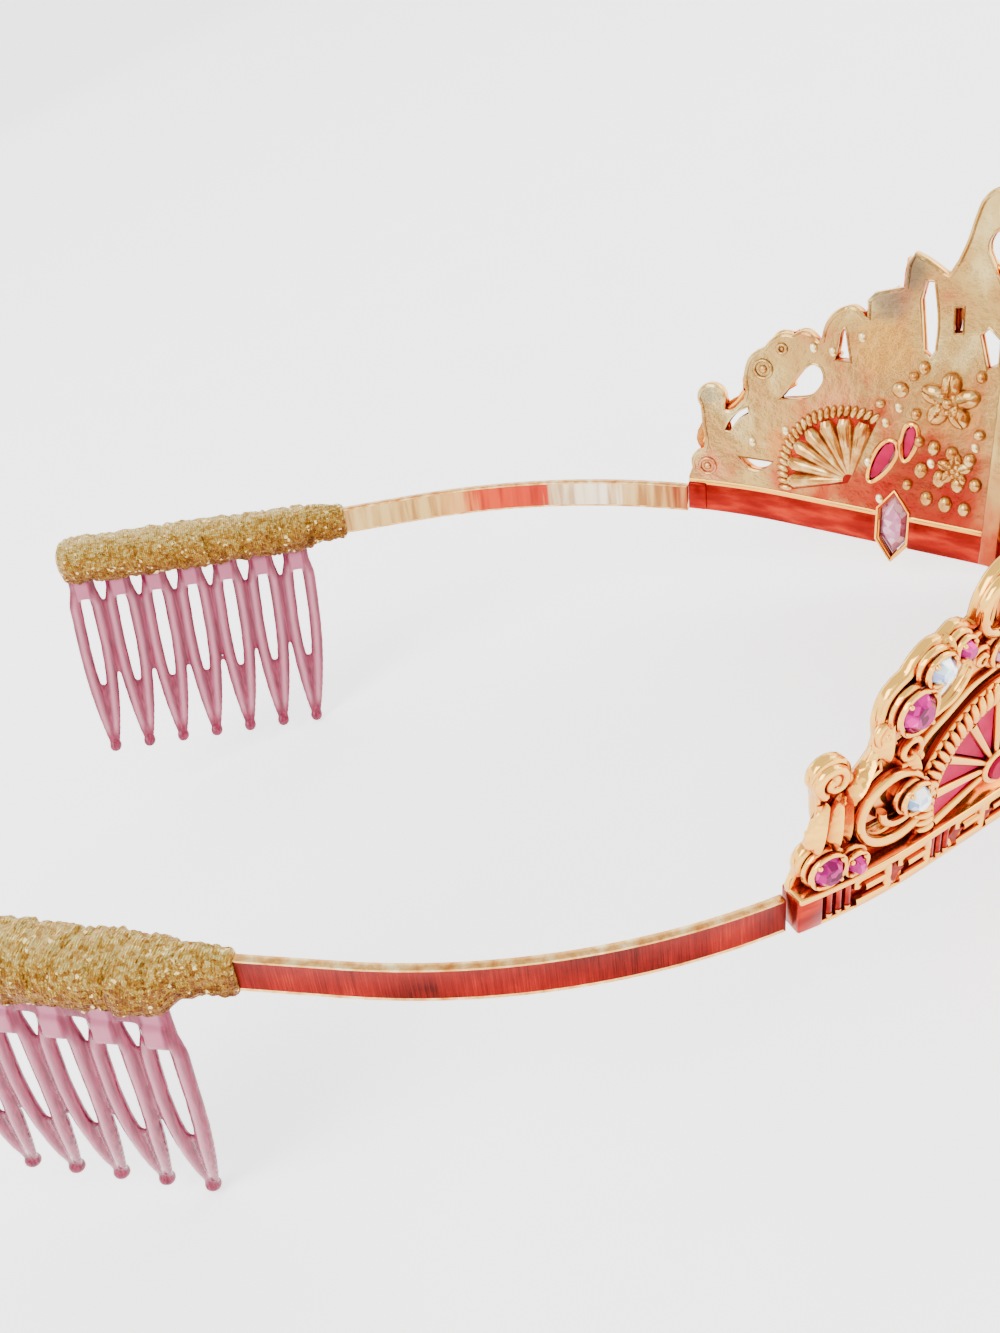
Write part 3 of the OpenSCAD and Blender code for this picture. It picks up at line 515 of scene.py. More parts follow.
# painted highlight: paler pink along each rib of the teeth
half_rib = add(tree, "Math", {0: ribbed.outputs["Fac"], 1: 0.6}, operation='MULTIPLY')
rib_painted_highlight = add(tree, "Mix", {"Factor": half_rib, "A": body_tint, "B": tint("#d890a2")},
               data_type='RGBA')
pad_tint = add(tree, "Mix", {"Factor": padded.outputs["Fac"], "A": rib_painted_highlight.outputs["Result"],
                             "B": tint("#b4607a")}, data_type='RGBA')
ripple = add(tree, "Bump", {"Height": flow, "Strength": 0.25, "Distance": 0.0001})
fill(tree, shader, {"Base Color": pad_tint.outputs["Result"], "Normal": ripple, "Roughness": 0.08,
                    "IOR": 1.49, "Transmission Weight": 0.3, "Specular IOR Level": 0.2})
keep_flat(comb)
comb.data.materials.append(clear_pink)
comb_at = np.array([COMB_S])
comb_turn = float(heading(comb_at)[0])
outward = np.array([math.sin(comb_turn), -math.cos(comb_turn)])
comb_root = strip_line(comb_at)[0] + COMB_OUT * outward
in_hand = (Matrix.Translation((*comb_root, -COMB_DROP)) @ Matrix.Rotation(comb_turn, 4, 'Z')
           @ Matrix.Rotation(-COMB_RISE, 4, 'Y'))
for side, name in ((1, "left"), (-1, "right")):
    piece = twin(comb, "clear_comb_" + name)
    piece.data.transform(in_hand)
    co = corners(piece)
    move_corners(piece, stood(side * co[:, 0], co[:, 1], co[:, 2]))
    if side < 0:
        piece.data.flip_normals()
    smooth(piece, 80)
    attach(piece, "root")
    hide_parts("comb_" + name)
bpy.data.objects.remove(comb)

# Windings. Gold lame ribbon about 6 mm wide is wound round the strip's end and the comb's bar,
# each turn over the last, pulled tight, so that it shows slanting edges and small crumples.
TAIL_S, BODY_S, WOUND_END = 130.7, 138, 178.3
RIBBON_PITCH, RIBBON_STEP = 5.4, 0.22
#          arc    out   up   half out  half up
WOUND = [(130.7, 0, 2.3, 1.0, 2.5),
         (131.1, 0, 2.3, 1.45, 2.9),
         (134.5, 0.1, 2.35, 1.75, 3.15),
         (137, 0.3, 2.3, 2.1, 3.3),
         (138, 0.65, 2.05, 3.1, 3.5),
         (139, 0.75, 1.9, 3.95, 3.65),
         (150, 0.75, 1.9, 4.05, 3.7),
         (163, 0.75, 1.9, 4.0, 3.7),
         (176.6, 0.75, 1.9, 3.9, 3.55),
         (177.8, 0.75, 1.9, 3.2, 2.9),
         (178.3, 0.75, 1.9, 2.2, 1.9)]
OVAL_POWER = 2 / 2.6
WOUND_STEPS, ROUND_STEPS = 330, 150
#           arc   depth of the crease where the ribbon is pulled tight
CREASES = [(140, 0.208), (143.2, 0.286), (146.4, 0.234), (149.3, 0.26), (153, 0.286), (160, 0.195),
           (168.5, 0.234)]
CREASE_SLANT, CREASE_WIDE = 1.1, 0.35
FOLD, PUCKER, CRINKLE, WANDER = 0.3, 0.55, 0.3, 1.4
LAP_STEP, END_TAPER = 0.08, 0.8

bpy.ops.object.select_all(action='DESELECT')
bpy.ops.mesh.primitive_grid_add(x_subdivisions=WOUND_STEPS, y_subdivisions=ROUND_STEPS, size=1)
winding = bpy.context.object
co = corners(winding)
s = TAIL_S + (co[:, 0] + 0.5) * (WOUND_END - TAIL_S)
turn = (co[:, 1] + 0.5) * 2 * math.pi
out_at, up_at, half_out, half_up = (from_table(WOUND, k, s) for k in (1, 2, 3, 4))


def crumple(across, along, seed, wide, tall):
    """Noise over the winding, with cells of so many millimetres along and round it."""
    places = zip(along / wide, np.cos(across) * 4 / tall + seed, np.sin(across) * 4 / tall)
    return np.array([noise.noise(Vector(place)) for place in places])


wander = crumple(turn, s, 3, 9, 9)
lap = (s + WANDER * wander) / RIBBON_PITCH + turn / (2 * math.pi)
lap = lap - np.floor(lap)
step_up = np.where(lap < LAP_STEP, lap / LAP_STEP, (1 - lap) / (1 - LAP_STEP))
body = np.clip((s - BODY_S + 1) / 2, 0, 1)
low = np.clip(-np.sin(turn), 0, 1)
swell = (RIBBON_STEP * (step_up - 0.5) * (0.55 + 0.45 * body)
         + FOLD * crumple(turn, s, 11, 8, 2.4) * (0.5 + 0.5 * body)
         + PUCKER * crumple(turn, s, 23, 1.5, 1.6) * (0.4 + 0.6 * low)
         + CRINKLE * crumple(turn, s, 37, 0.8, 0.7))
for place, deep in CREASES:
    swell -= deep * np.exp(-((s + CREASE_SLANT * np.sin(turn + place) - place) / CREASE_WIDE) ** 2)
swell *= np.clip((s - TAIL_S) / END_TAPER, 0, 1) * np.clip((WOUND_END - s) / END_TAPER, 0, 1)


def oval(value):
    """A sine or cosine drawn out towards a rounded oblong."""
    return np.sign(value) * np.abs(value) ** OVAL_POWER


out = out_at + (half_out + swell) * oval(np.cos(turn))
up = (up_at + (half_up + swell) * oval(np.sin(turn)) - 0.08 * half_out * np.cos(turn) * body
      + 0.9 * np.maximum(s - COMB_S, 0) * math.tan(COMB_RISE))
move_corners(winding, np.stack([s, -out, up], 1))
only(winding)
bpy.ops.object.mode_set(mode='EDIT')
bpy.ops.mesh.select_all(action='SELECT')
bpy.ops.mesh.remove_doubles(threshold=0.0005)
bpy.ops.mesh.fill_holes(sides=0)
bpy.ops.mesh.normals_make_consistent(inside=False)
bpy.ops.object.mode_set(mode='OBJECT')

# Woven gold lame: flat metal threads over a brown ground, with painted light from above that makes
# it brighter on top and more orange below, and single threads given a painted glint.
tree, shader, lame = finish_of("woven_gold_lame")
place = add(tree, "Attribute", attribute_name="flat").outputs["Vector"]
height = add(tree, "SeparateXYZ", {"Vector": place})
thread_size = add(tree, "Mapping", {"Vector": place, "Scale": (3.4, 0.9, 0.9)})
threads = add(tree, "TexNoise", {"Vector": thread_size, "Scale": 1.5, "Detail": 6,
                                 "Roughness": 0.75})
weft = add(tree, "TexWave", {"Vector": place, "Scale": 0.95, "Distortion": 2.4,
                             "Detail": 3, "Detail Scale": 1.5}, bands_direction='X')
warp = add(tree, "TexWave", {"Vector": place, "Scale": 0.85, "Distortion": 3,
                             "Detail": 2}, bands_direction='Z')
weave = add(tree, "Math", {0: weft.outputs["Fac"], 1: warp.outputs["Fac"]}, operation='MULTIPLY')
# painted light: brighter towards the top, more orange towards the bottom
painted_top_light = add(tree, "MapRange", {"Value": height.outputs["Z"], "From Min": -2.4, "From Max": 6.6,
                              "To Min": -0.22, "To Max": 0.2})
cells = add(tree, "TexVoronoi", {"Vector": place, "Scale": 2.4})
pick = add(tree, "SeparateColor", {"Color": cells.outputs["Color"]})
speck = add(tree, "MapRange", {"Value": pick.outputs["Red"], "To Min": -0.12, "To Max": 0.13})
speckled = add(tree, "Math", {0: threads, 1: speck}, operation='ADD')
mixed = add(tree, "Math", {0: speckled, 1: painted_top_light}, operation='ADD')
shade = add(tree, "ValToRGB", {"Fac": mixed},
            ramp=[(0.24, "#3e1802"), (0.38, "#84460a"), (0.5, "#b07c14"), (0.6, "#cfa62a"),
                  (0.74, "#f6e48c")])
dark = add(tree, "Mix", {"Factor": weave, "A": tint("#6e3a08"), "B": shade}, data_type='RGBA')
part = add(tree, "Mix", {"Factor": 0.62, "A": shade, "B": dark.outputs["Result"]}, data_type='RGBA')
# painted glint: a few cells turn pale yellow
painted_glint = add(tree, "Math", {0: pick.outputs["Green"], 1: 0.975}, operation='GREATER_THAN')
with_painted_glints = add(tree, "Mix", {"Factor": painted_glint, "A": part.outputs["Result"], "B": tint("#ffe39a")},
          data_type='RGBA')
woven = add(tree, "Math", {0: threads, 1: weave}, operation='ADD')
relief = add(tree, "Math", {0: cells.outputs["Distance"], 1: -0.7, 2: woven},
             operation='MULTIPLY_ADD')
rough = add(tree, "MapRange", {"Value": threads, "To Min": 0.55, "To Max": 0.3})
raised = add(tree, "Bump", {"Height": relief, "Strength": 1.0, "Distance": 0.00035})
fill(tree, shader, {"Base Color": with_painted_glints.outputs["Result"], "Roughness": rough, "Normal": raised,
                    "Metallic": 0.7})
keep_flat(winding)
winding.data.materials.append(lame)
for side, name in ((1, "left"), (-1, "right")):
    piece = twin(winding, "ribbon_winding_" + name)
    bend(piece, side, leans=False)
    smooth(piece, 70)
    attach(piece, "root")
    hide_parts("wrap_" + name)
bpy.data.objects.remove(winding)

# Front casting. One piece of white metal, cast with its relief and openings, gold plated and
# polished on the high places, with red painted over the rail as the reflection of a red surface
# below, and painted red-brown shade in the hollows.
CAST_END, PLATE_T = 72.2, 1.1
RAIL_LOW, RAIL_HIGH, RAIL_OUT, RAIL_IN, LEDGE_OUT, KEY_OUT = 0.6, 6, 1.5, 0.7, 2.6, 2.2
CREST_MIDDLE, ARCH_R, PLATE_FOOT = 47.5, 13, 4.4


def spoke(reach, degrees, s=0, z=0):
    """The point at a reach and an angle from a middle; an oval has a reach across and one up."""
    across, up = np.broadcast_to(reach, 2)
    return s + across * math.cos(math.radians(degrees)), z + up * math.sin(math.radians(degrees))


def arc(s, z, r, start, stop, steps):
    """Points along part of a circle."""
    return [spoke(r, start + (stop - start) * k / steps, s, z) for k in range(steps + 1)]


def ring(reach, count):
    """Points round a circle or an oval that lies flat."""
    return [(*spoke(reach, 360 * k / count), 0) for k in range(count)]


# Upper edge of one half as arc length and height, from the strip to the middle. Runs of points
# between corners are drawn as one smooth curve.
crest_runs = [
    [(CAST_END, PLATE_FOOT), (CAST_END, 6.2)],
    arc(69.2, 8.8, 2.6, -22, 78, 5) + [(69.5, 12.9), (69.9, 15), (70.1, 17.2)],
    arc(68.4, 19.9, 2.35, -38, 200, 9),
    [(66.2, 18.2), (65, 18.4), (63.3, 20.2)],
    [(63, 21.6), (63.3, 24.2), (62.6, 26.9), (61.2, 28.3)],
    [(60.2, 28.8), (59.3, 30), (57.6, 31.2), (56, 31.3)],
    [(55.7, 31.2), (54.3, 32), (52.8, 31.8), (51.6, 30.9)],
    [(51.3, 31), (50.8, 33.4), (49.2, 35.6), (47, 36.6), (45.4, 36), (44.5, 35)],
    [(44.7, 37.6), (43.7, 38.7), (41.6, 39.4), (39.5, 40)],
    [(39.3, 43.2), (38.4, 44.9)],
    [(36.6, 44.2), (34.9, 43.2), (33.6, 42.3)],
    [(32.5, 44.4), (31.6, 47), (30.9, 50), (30.1, 52.5), (28.5, 54), (26, 54.4), (23.6, 53.6),
     (22, 51.6)],
    [(21, 49.6), (19, 48.7), (17, 48.6)],
    [(16, 48.9), (14, 49.9)],
    arc(0, CREST_MIDDLE, ARCH_R, 20, 90, 8)]
#            each opening, as runs like the edge's
windows = [
    [arc(60.5, 13.4, 5.9, 14, 70, 5), arc(60.5, 13.4, 4.7, 68, 16, 5)],
    [arc(61, 11.5, 2.9, 200, 340, 7)],
    [[(57.3, 21.1), (55.2, 24.3), (53.8, 26.2), (52.2, 27.1), (51, 26.5), (50.6, 25.1),
      (51.1, 23.8), (52.6, 22.1), (55, 21.4)]],
    [[(49, 28.4), (48.7, 30), (48.4, 32.4), (47.6, 33.1), (47.1, 31), (46.5, 28.4)]],
    [[(35.1, 30.6), (36, 31.4)], [(37, 38.4), (36.5, 41)], [(35.2, 41), (34.3, 36), (34.3, 31.8)]],
    [[(30.8, 34.6), (32, 34.4)], [(32.2, 37.9), (31, 38.1)]],
    [[(25.6, 30.8), (27, 30)], [(28.4, 34.5), (27.3, 35.6)], [(25.7, 34.2)]],
    [[(25.3, 39.6)], arc(26, 46.6, 2.6, -20, 200, 8)],
    [arc(17.6, 41.6, 2.5, 20, 160, 6), [(16.6, 34.8)]],
    [arc(19.5, 24.6, 2.3, 20, 160, 6), [(18.6, 18.2)]]]
# Opening round the arch's stone: radii, and angles where each starts.
TOP_ARCH = (9.8, 6.9, 25, 30)
RAIL_STONE_S, STONE_HALF = 38.4, 2.1
RAIL_STONE = [(0, -1.2), (STONE_HALF, 1.7), (STONE_HALF, 6.1), (0, 8.8), (-STONE_HALF, 6.1),
              (-STONE_HALF, 1.7)]


def drawn(runs, shut=False, step=0.55):
    """Points close together along smooth runs joined at corners."""
    line = []
    for run in runs:
        knots = np.array(run, float)
        if len(knots) > 2:
            ends = np.vstack([2 * knots[0] - knots[1], knots, 2 * knots[-1] - knots[-2]])
            curve = []
            for a, b, c, d in zip(ends, ends[1:], ends[2:], ends[3:]):
                count = max(2, int(np.linalg.norm(c - b) / step))
                for t in np.linspace(0, 1, count, endpoint=False):
                    curve.append(0.5 * (2 * b + (c - a) * t + (2 * a - 5 * b + 4 * c - d) * t * t
                                        + (3 * b - a - 3 * c + d) * t ** 3))
            curve.append(knots[-1])
        else:
            curve = list(knots)
        line += curve
    keep = [line[0]]
    for point in line[1:]:
        if np.linalg.norm(point - keep[-1]) > 0.05:
            keep.append(point)
    if shut and np.linalg.norm(keep[-1] - keep[0]) < 0.1:
        keep.pop()
    return np.array(keep)


def sheet(name, edges, thick, rounding):
    """A flat sheet with a rounded edge from closed outlines, the first the outside one."""
    curve = bpy.data.curves.new(name, 'CURVE')
    curve.dimensions = '2D'
    curve.fill_mode = 'BOTH'
    curve.extrude = thick / 2 - rounding
    curve.bevel_depth = rounding
    curve.bevel_resolution = 1
    curve.offset = -rounding
    return meshed(curve, [[(x, y, 0) for x, y in edge] for edge in edges])


def upright(thing, s=0, z=0, turn=0, size=(1, 1, 1), n=0, front=1):
    """Sets a piece made lying down on the front, or the back, of the flat casting."""
    thing.data.transform(Matrix.Translation((s, -n, z)) @ Matrix.Rotation(math.pi / 2, 4, 'X')
                         @ Matrix.Rotation(math.radians(turn), 4, 'Z') @ Matrix.Diagonal((*size, 1))
                         @ Matrix.Diagonal((1, 1, front, 1)))
    if front < 0:
        thing.data.flip_normals()
    return thing


def placed(model, s, z, turn=0, size=(1, 1, 1), n=0, front=1):
    """A copy of a model, set on the flat casting."""
    return upright(twin(model, model.name), s, z, turn, size, n, front)


crest = drawn(crest_runs)
#          arc   up   turn  long wide
BLADES = [(42.3, 10.6, 115, 7.2, 2.4),
          (37.3, 14.8, 97, 5.4, 1.8)]


def blade_edge(s, z, turn, length, width, grow=0.0):
    """Outline of an enamelled blade, widest near its foot."""
    a = np.linspace(0, 2 * math.pi, 20, endpoint=False)
    along = length / 2 * (1 - np.cos(a)) + grow * -np.cos(a)
    across = (width / 2 + grow) * np.sin(a) * (1 - 0.25 * np.cos(a))
    c, d = math.cos(math.radians(turn)), math.sin(math.radians(turn))
    return np.stack([s + along * c - across * d, z + along * d + across * c], 1)


# The half plate's outline goes over the crest, round half of the top arch's opening, down the
# middle and back along the rail, where it leaves room for the long stone.
holes = [drawn(runs, shut=True) for runs in windows] + [blade_edge(*blade) for blade in BLADES]
ring_out, ring_in, ring_from, ring_to = TOP_ARCH
arch_hole = (arc(0, CREST_MIDDLE, ring_out, 90, ring_from, 8)
             + arc(0, CREST_MIDDLE, ring_in, ring_to, 90, 6))
outline = [tuple(p) for p in crest if p[0] > 0.02]
outline += [(0, CREST_MIDDLE + ARCH_R), (0, CREST_MIDDLE + ring_out)]
outline += [(max(x, 0), y) for x, y in arch_hole[1:-1]]
outline += [(0, CREST_MIDDLE + ring_in), (0, PLATE_FOOT), (RAIL_STONE_S - STONE_HALF, PLATE_FOOT)]
outline += [(RAIL_STONE_S - x, z) for x, z in RAIL_STONE[2:5]]
outline += [(RAIL_STONE_S + STONE_HALF, PLATE_FOOT)]
outline = [p for k, p in enumerate(outline) if k == 0 or math.dist(p, outline[k - 1]) > 0.04]
plate = sheet("plate", [outline, *holes], PLATE_T, 0.2)
upright(plate)
slice_across(plate, 1.2, CAST_END, 1.2)
half = [plate]

# Polished gold plate over the cast relief, painted bright on the high places and red-brown in the
# hollows as painted light and shade, with a painted red reflection on what faces down.
tree, shader, cast_gold = finish_of("polished_gold_plate")
place = add(tree, "TexCoord").outputs["Object"]
facing = add(tree, "Attribute", attribute_name="facing")
# painted shade: where ambient occlusion finds a hollow, the gold turns red-brown
shade_ao = add(tree, "AmbientOcclusion", {"Distance": 0.0022}, samples=8)
depth = add(tree, "ValToRGB", {"Fac": shade_ao.outputs["AO"]},
            ramp=[(0.12, "#8c2407"), (0.4, "#b85012"), (0.65, "#d88c28"), (0.9, "#fabc50")])
# painted reflection: faces turned down take a red cast from a red surface below
painted_reflection_share = add(tree, "MapRange", {"Value": facing.outputs["Fac"], "From Min": -0.75, "From Max": 0.35,
                               "To Min": 0.6, "To Max": 0})
shade_and_reflection_paint = add(tree, "Mix", {"Factor": painted_reflection_share, "A": depth, "B": tint("#b23c14")}, data_type='RGBA')
wear = add(tree, "TexNoise", {"Vector": place, "Scale": 420, "Detail": 4})
worn = add(tree, "MapRange", {"Value": wear, "To Min": 0.04, "To Max": 0.2})
skin = add(tree, "Bump", {"Height": wear, "Strength": 0.3, "Distance": 0.00012})
fill(tree, shader, {"Base Color": shade_and_reflection_paint.outputs["Result"], "Roughness": worn, "Normal": skin,
                    "Metallic": 0.96})

# Backs of the raised lumps: paler champagne plate, free of the painted red of the plate round them.
tree, shader, lump_gold = finish_of("plain_champagne_lumps")
place = add(tree, "Attribute", attribute_name="flat").outputs["Vector"]
lump_clouds = add(tree, "TexNoise", {"Vector": place, "Scale": 0.6, "Detail": 3})
shade = add(tree, "ValToRGB", {"Fac": lump_clouds},
            ramp=[(0.3, "#a86a2c"), (0.5, "#bf8c48"), (0.7, "#d8b878")])
fill(tree, shader, {"Base Color": shade, "Metallic": 0.9, "Roughness": 0.14})

# Back of the casting: thinner champagne plate, satin, with a painted red reflection that grows
# rosier low down, painted shade in the hollows, and patches of painted light: grey-brown shade
# behind the spikes, warm gold, orange and red reflection elsewhere.
#          arc   up  reach  colour     share
LIGHT_PATCHES = [(38.6, 42.5, 4, "#6e5c44", 0.9),
          (41.2, 37.6, 3.6, "#7c6850", 0.85),
          (41.6, 31, 6.5, "#c88e3c", 0.75),
          (31.6, 23.6, 6.5, "#b47a34", 0.7),
          (32.6, 11, 11, "#8a1407", 0.9),
          (43.5, 8.5, 6, "#981c0c", 0.85),
          (55.6, 13.4, 5, "#c4702c", 0.7),
          (56.6, 8.4, 3.6, "#b04426", 0.7),
          (48.6, 21.6, 5, "#cc8250", 0.6),
          (68.6, 8.2, 3.6, "#cc7450", 0.7),
          (68.4, 20.4, 2, "#a8a27c", 0.7)]
tree, shader, back_gold = finish_of("satin_champagne_plate")
place = add(tree, "Attribute", attribute_name="flat").outputs["Vector"]
height = add(tree, "SeparateXYZ", {"Vector": place})
drift = add(tree, "TexNoise", {"Vector": place, "Scale": 0.35, "Detail": 3})
drifted = add(tree, "VectorMath", {0: drift.outputs["Color"], 1: (4, 0, 4), 2: place},
              operation='MULTIPLY_ADD')
level_place = add(tree, "VectorMath", {0: drifted, 1: (2, 0, 2)}, operation='SUBTRACT')
cloud_size = add(tree, "Mapping", {"Vector": place, "Scale": (0.12, 0.12, 0.07)})
clouds = add(tree, "TexNoise", {"Vector": cloud_size, "Scale": 1.6, "Detail": 4})
# painted reflection: lower on the plate the colour runs towards red
level = add(tree, "MapRange", {"Value": height.outputs["Z"], "From Min": 6, "From Max": 34,
                               "To Min": -0.1, "To Max": 0.2})
far_end = add(tree, "MapRange", {"Value": height.outputs["X"], "From Min": 54, "From Max": 62,
                                 "To Min": 0, "To Max": 0.24})
ends = add(tree, "Math", {0: level, 1: far_end}, operation='ADD')
mixed = add(tree, "Math", {0: clouds, 1: ends}, operation='ADD')
shade = add(tree, "ValToRGB", {"Fac": mixed},
            ramp=[(0.22, "#941e0c"), (0.36, "#a8421f"), (0.48, "#b5703c"), (0.58, "#b4864a"),
                  (0.72, "#b99552"), (0.88, "#d2b878")])
# painted shade: hollows found by ambient occlusion go brown
shade_ao = add(tree, "AmbientOcclusion", {"Distance": 0.0018}, samples=8)
depth = add(tree, "ValToRGB", {"Fac": shade_ao.outputs["AO"]},
            ramp=[(0.3, "#8a4424"), (0.75, "#ffffff")])
seen = add(tree, "Mix", {"Factor": 1.0, "A": shade, "B": depth},
           data_type='RGBA', blend_type='MULTIPLY')
colour = seen.outputs["Result"]
# patches of painted light and shade, each fading out from its middle
for s, z, reach, patch_colour, share in LIGHT_PATCHES:
    off = add(tree, "VectorMath", {0: level_place, 1: (s, 0, z)}, operation='DISTANCE')
    near = add(tree, "MapRange", {"Value": off.outputs["Value"], "From Min": 0.35 * reach,
                                  "From Max": reach, "To Min": share, "To Max": 0},
               interpolation_type='SMOOTHSTEP')
    colour = add(tree, "Mix", {"Factor": near, "A": colour, "B": tint(patch_colour)},
                 data_type='RGBA').outputs["Result"]
fine = add(tree, "TexNoise", {"Vector": place, "Scale": 0.5, "Detail": 5})
skin = add(tree, "Bump", {"Height": fine, "Strength": 0.35, "Distance": 0.0006})
fill(tree, shader, {"Base Color": colour, "Normal": skin, "Metallic": 0.9, "Roughness": 0.22})

# Red on the rail's plain ground, painted as the reflection of a red surface below, in soft streaks.
tree, shader, rail_red_reflection_paint = finish_of("streaked_painted_red_reflection")
place = add(tree, "Attribute", attribute_name="flat").outputs["Vector"]
red_streak_size = add(tree, "Mapping", {"Vector": place, "Scale": (0.09, 1, 0.35)})
red_streaks = add(tree, "TexNoise", {"Vector": red_streak_size, "Scale": 1.5, "Detail": 4})
shade = add(tree, "ValToRGB", {"Fac": red_streaks},
            ramp=[(0.3, "#6a0903"), (0.5, "#8a0e05"), (0.68, "#b02c12"), (0.82, "#c85a2c")])
fill(tree, shader, {"Base Color": shade, "Metallic": 0.92, "Roughness": 0.26})


def painted(thing, *finishes):
    """Gives a piece its finishes."""
    for finish in finishes:
        thing.data.materials.append(finish)
    return thing


painted(plate, cast_gold, back_gold)
for face in plate.data.polygons:
    face.material_index = 1 if face.normal.y > 0.5 else 0


def bar_along(name, n0, n1, z0, z1, s0, s1, rounding, finish):
    """A straight bar of the rail, rounded and cut ready to bend."""
    thing = block(((s0 + s1) / 2, -(n0 + n1) / 2, (z0 + z1) / 2), (s1 - s0, n1 - n0, z1 - z0))
    thing.name = name
    soften(thing, rounding)
    slice_across(thing, s0 + 1.5, s1, 1.5)
    return painted(thing, finish)


#        name         from and to outward       from and to up                  short  round  finish
BARS = [("rail", (-RAIL_IN, RAIL_OUT), (RAIL_LOW, RAIL_HIGH - 0.7), 0.3, 0.2, rail_red_reflection_paint),
        ("ledge", (-0.75, LEDGE_OUT), (RAIL_HIGH - 0.95, RAIL_HIGH), 0, 0.3, cast_gold),
        ("lower_lip", (0.6, KEY_OUT - 0.1), (RAIL_LOW, RAIL_LOW + 0.55), 0.5, 0.2, cast_gold)]
STONE_ROOM, END_BLOCK_FROM = STONE_HALF + 0.1, 69.2
for s0, s1 in ((0, RAIL_STONE_S - STONE_ROOM), (RAIL_STONE_S + STONE_ROOM, CAST_END)):
    for name, outward, up, short, rounding, finish in BARS:
        half.append(bar_along(name, *outward, *up, s0, s1 - short, rounding, finish))
half.append(bar_along("end_block", -1.05, KEY_OUT, RAIL_LOW + 0.1, RAIL_HIGH - 0.6,
                      END_BLOCK_FROM, CAST_END, 0.3, rail_red_reflection_paint))

# Key fret on the rail, cast with it: gold hooks between square tiles, each with a star painted
# deep red as a reflection, and two groups of three upright ridges.
KEY_UNITS = (62.9, 57.1, 48.4, 43.6, 33, 28, 22.6, 17.4, 12.2, 7, 1.9)
STARS = (60, 50.8, 46, 35.8, 30.5, 25.3, 20, 14.8, 9.6, 4.4)
RIDGE_GROUPS, RIDGE_PITCH = (67.2, 53.3), 1.15
KEY_BAR = 0.6
FRET_Z = RAIL_LOW + 2.4
hook = [(2, 0.55, 0), (2.05, 1.3, 0), (1.7, 1.55, 0), (-1.7, 1.55, 0), (-2.05, 1.25, 0),
        (-2.05, -1.25, 0), (-1.7, -1.55, 0), (1.7, -1.55, 0), (2.2, -1.5, 0)]
tongue = [(-1.9, 0, 0), (0.9, 0, 0)]
key = joined([tube("hook", hook, KEY_BAR, 2), tube("tongue", tongue, KEY_BAR * 0.9, 2)], "key")
painted(key, cast_gold)
star_points = [spoke(r, 45 * k) for k, r in enumerate([1.4, 0.7] * 4)]
# Stars painted deep red as the reflection of a red surface below, dark where the gold round
# them shines.
tree, shader, star_red_reflection_paint = finish_of("deep_painted_red_reflection")
place = add(tree, "Attribute", attribute_name="flat").outputs["Vector"]
star_clouds = add(tree, "TexNoise", {"Vector": place, "Scale": 1.5, "Detail": 3})
shade = add(tree, "ValToRGB", {"Fac": star_clouds}, ramp=[(0.35, "#640a02"), (0.65, "#92200c")])
fill(tree, shader, {"Base Color": shade, "Roughness": 0.4, "Specular IOR Level": 0.1})
star = painted(sheet("star", [star_points], 0.3, 0.05), star_red_reflection_paint)
tile = painted(sheet("tile", [[(-1.3, -1.9), (1.3, -1.9), (1.3, 1.9), (-1.3, 1.9)]], 0.6, 0.15),
               cast_gold)
for s in STARS:
    half.append(placed(tile, s, FRET_Z, n=RAIL_OUT + 0.1))
    half.append(placed(star, s, FRET_Z, n=RAIL_OUT + 0.5))
for s in KEY_UNITS:
    half.append(placed(key, s, FRET_Z, n=RAIL_OUT + 0.25))
ridge = painted(tube("ridge", [(0, 0.8, 0), (0, 4.1, 0)], 0.42, 3), rail_red_reflection_paint)
foot = painted(tube("foot", [(0, 0.3, 0), (0, 1, 0.05)], [0.34, 0.5], 3), cast_gold)
for s in RIDGE_GROUPS:
    for k in (-1, 0, 1):
        for model in (ridge, foot):
            half.append(placed(model, s + k * RIDGE_PITCH, RAIL_LOW + 0.3, n=RAIL_OUT + 0.3))

# Raised lip that follows the crest's edge on the front, and a finer one on the back.
step = np.gradient(crest, axis=0)
step /= np.linalg.norm(step, axis=1)[:, None] + 1e-9
inward = np.stack([-step[:, 1], step[:, 0]], 1)
LIP_IN, LIP_FROM_Z, HOLE_LIP = 0.42, 7, 1.06
lip_line = (crest + LIP_IN * inward)[crest[:, 1] > LIP_FROM_Z]


def wire(name, line, n, radius, sides=3, closed=False, finish=cast_gold):
    """A bar that stands on the casting, so far out from its middle, along points of its face."""
    return painted(tube(name, [(s, -n, z) for s, z in line], radius, sides, closed), finish)


for n, radius, finish in ((0.55, 0.4, cast_gold), (-0.55, 0.24, back_gold)):
    half.append(wire("lip", lip_line, n, radius, 1, False, finish))
for hole in holes[:len(windows)]:
    middle = hole.mean(0)
    for n, radius, finish in ((0.55, 0.3, cast_gold), (-0.52, 0.2, back_gold)):
        half.append(wire("lip", middle + (hole - middle) * HOLE_LIP, n, radius, 1, True, finish))
for blade in BLADES:
    for n in (0.9, -0.45):
        half.append(wire("blade_rim", blade_edge(*blade, grow=0.3), n, 0.42, 2, True))

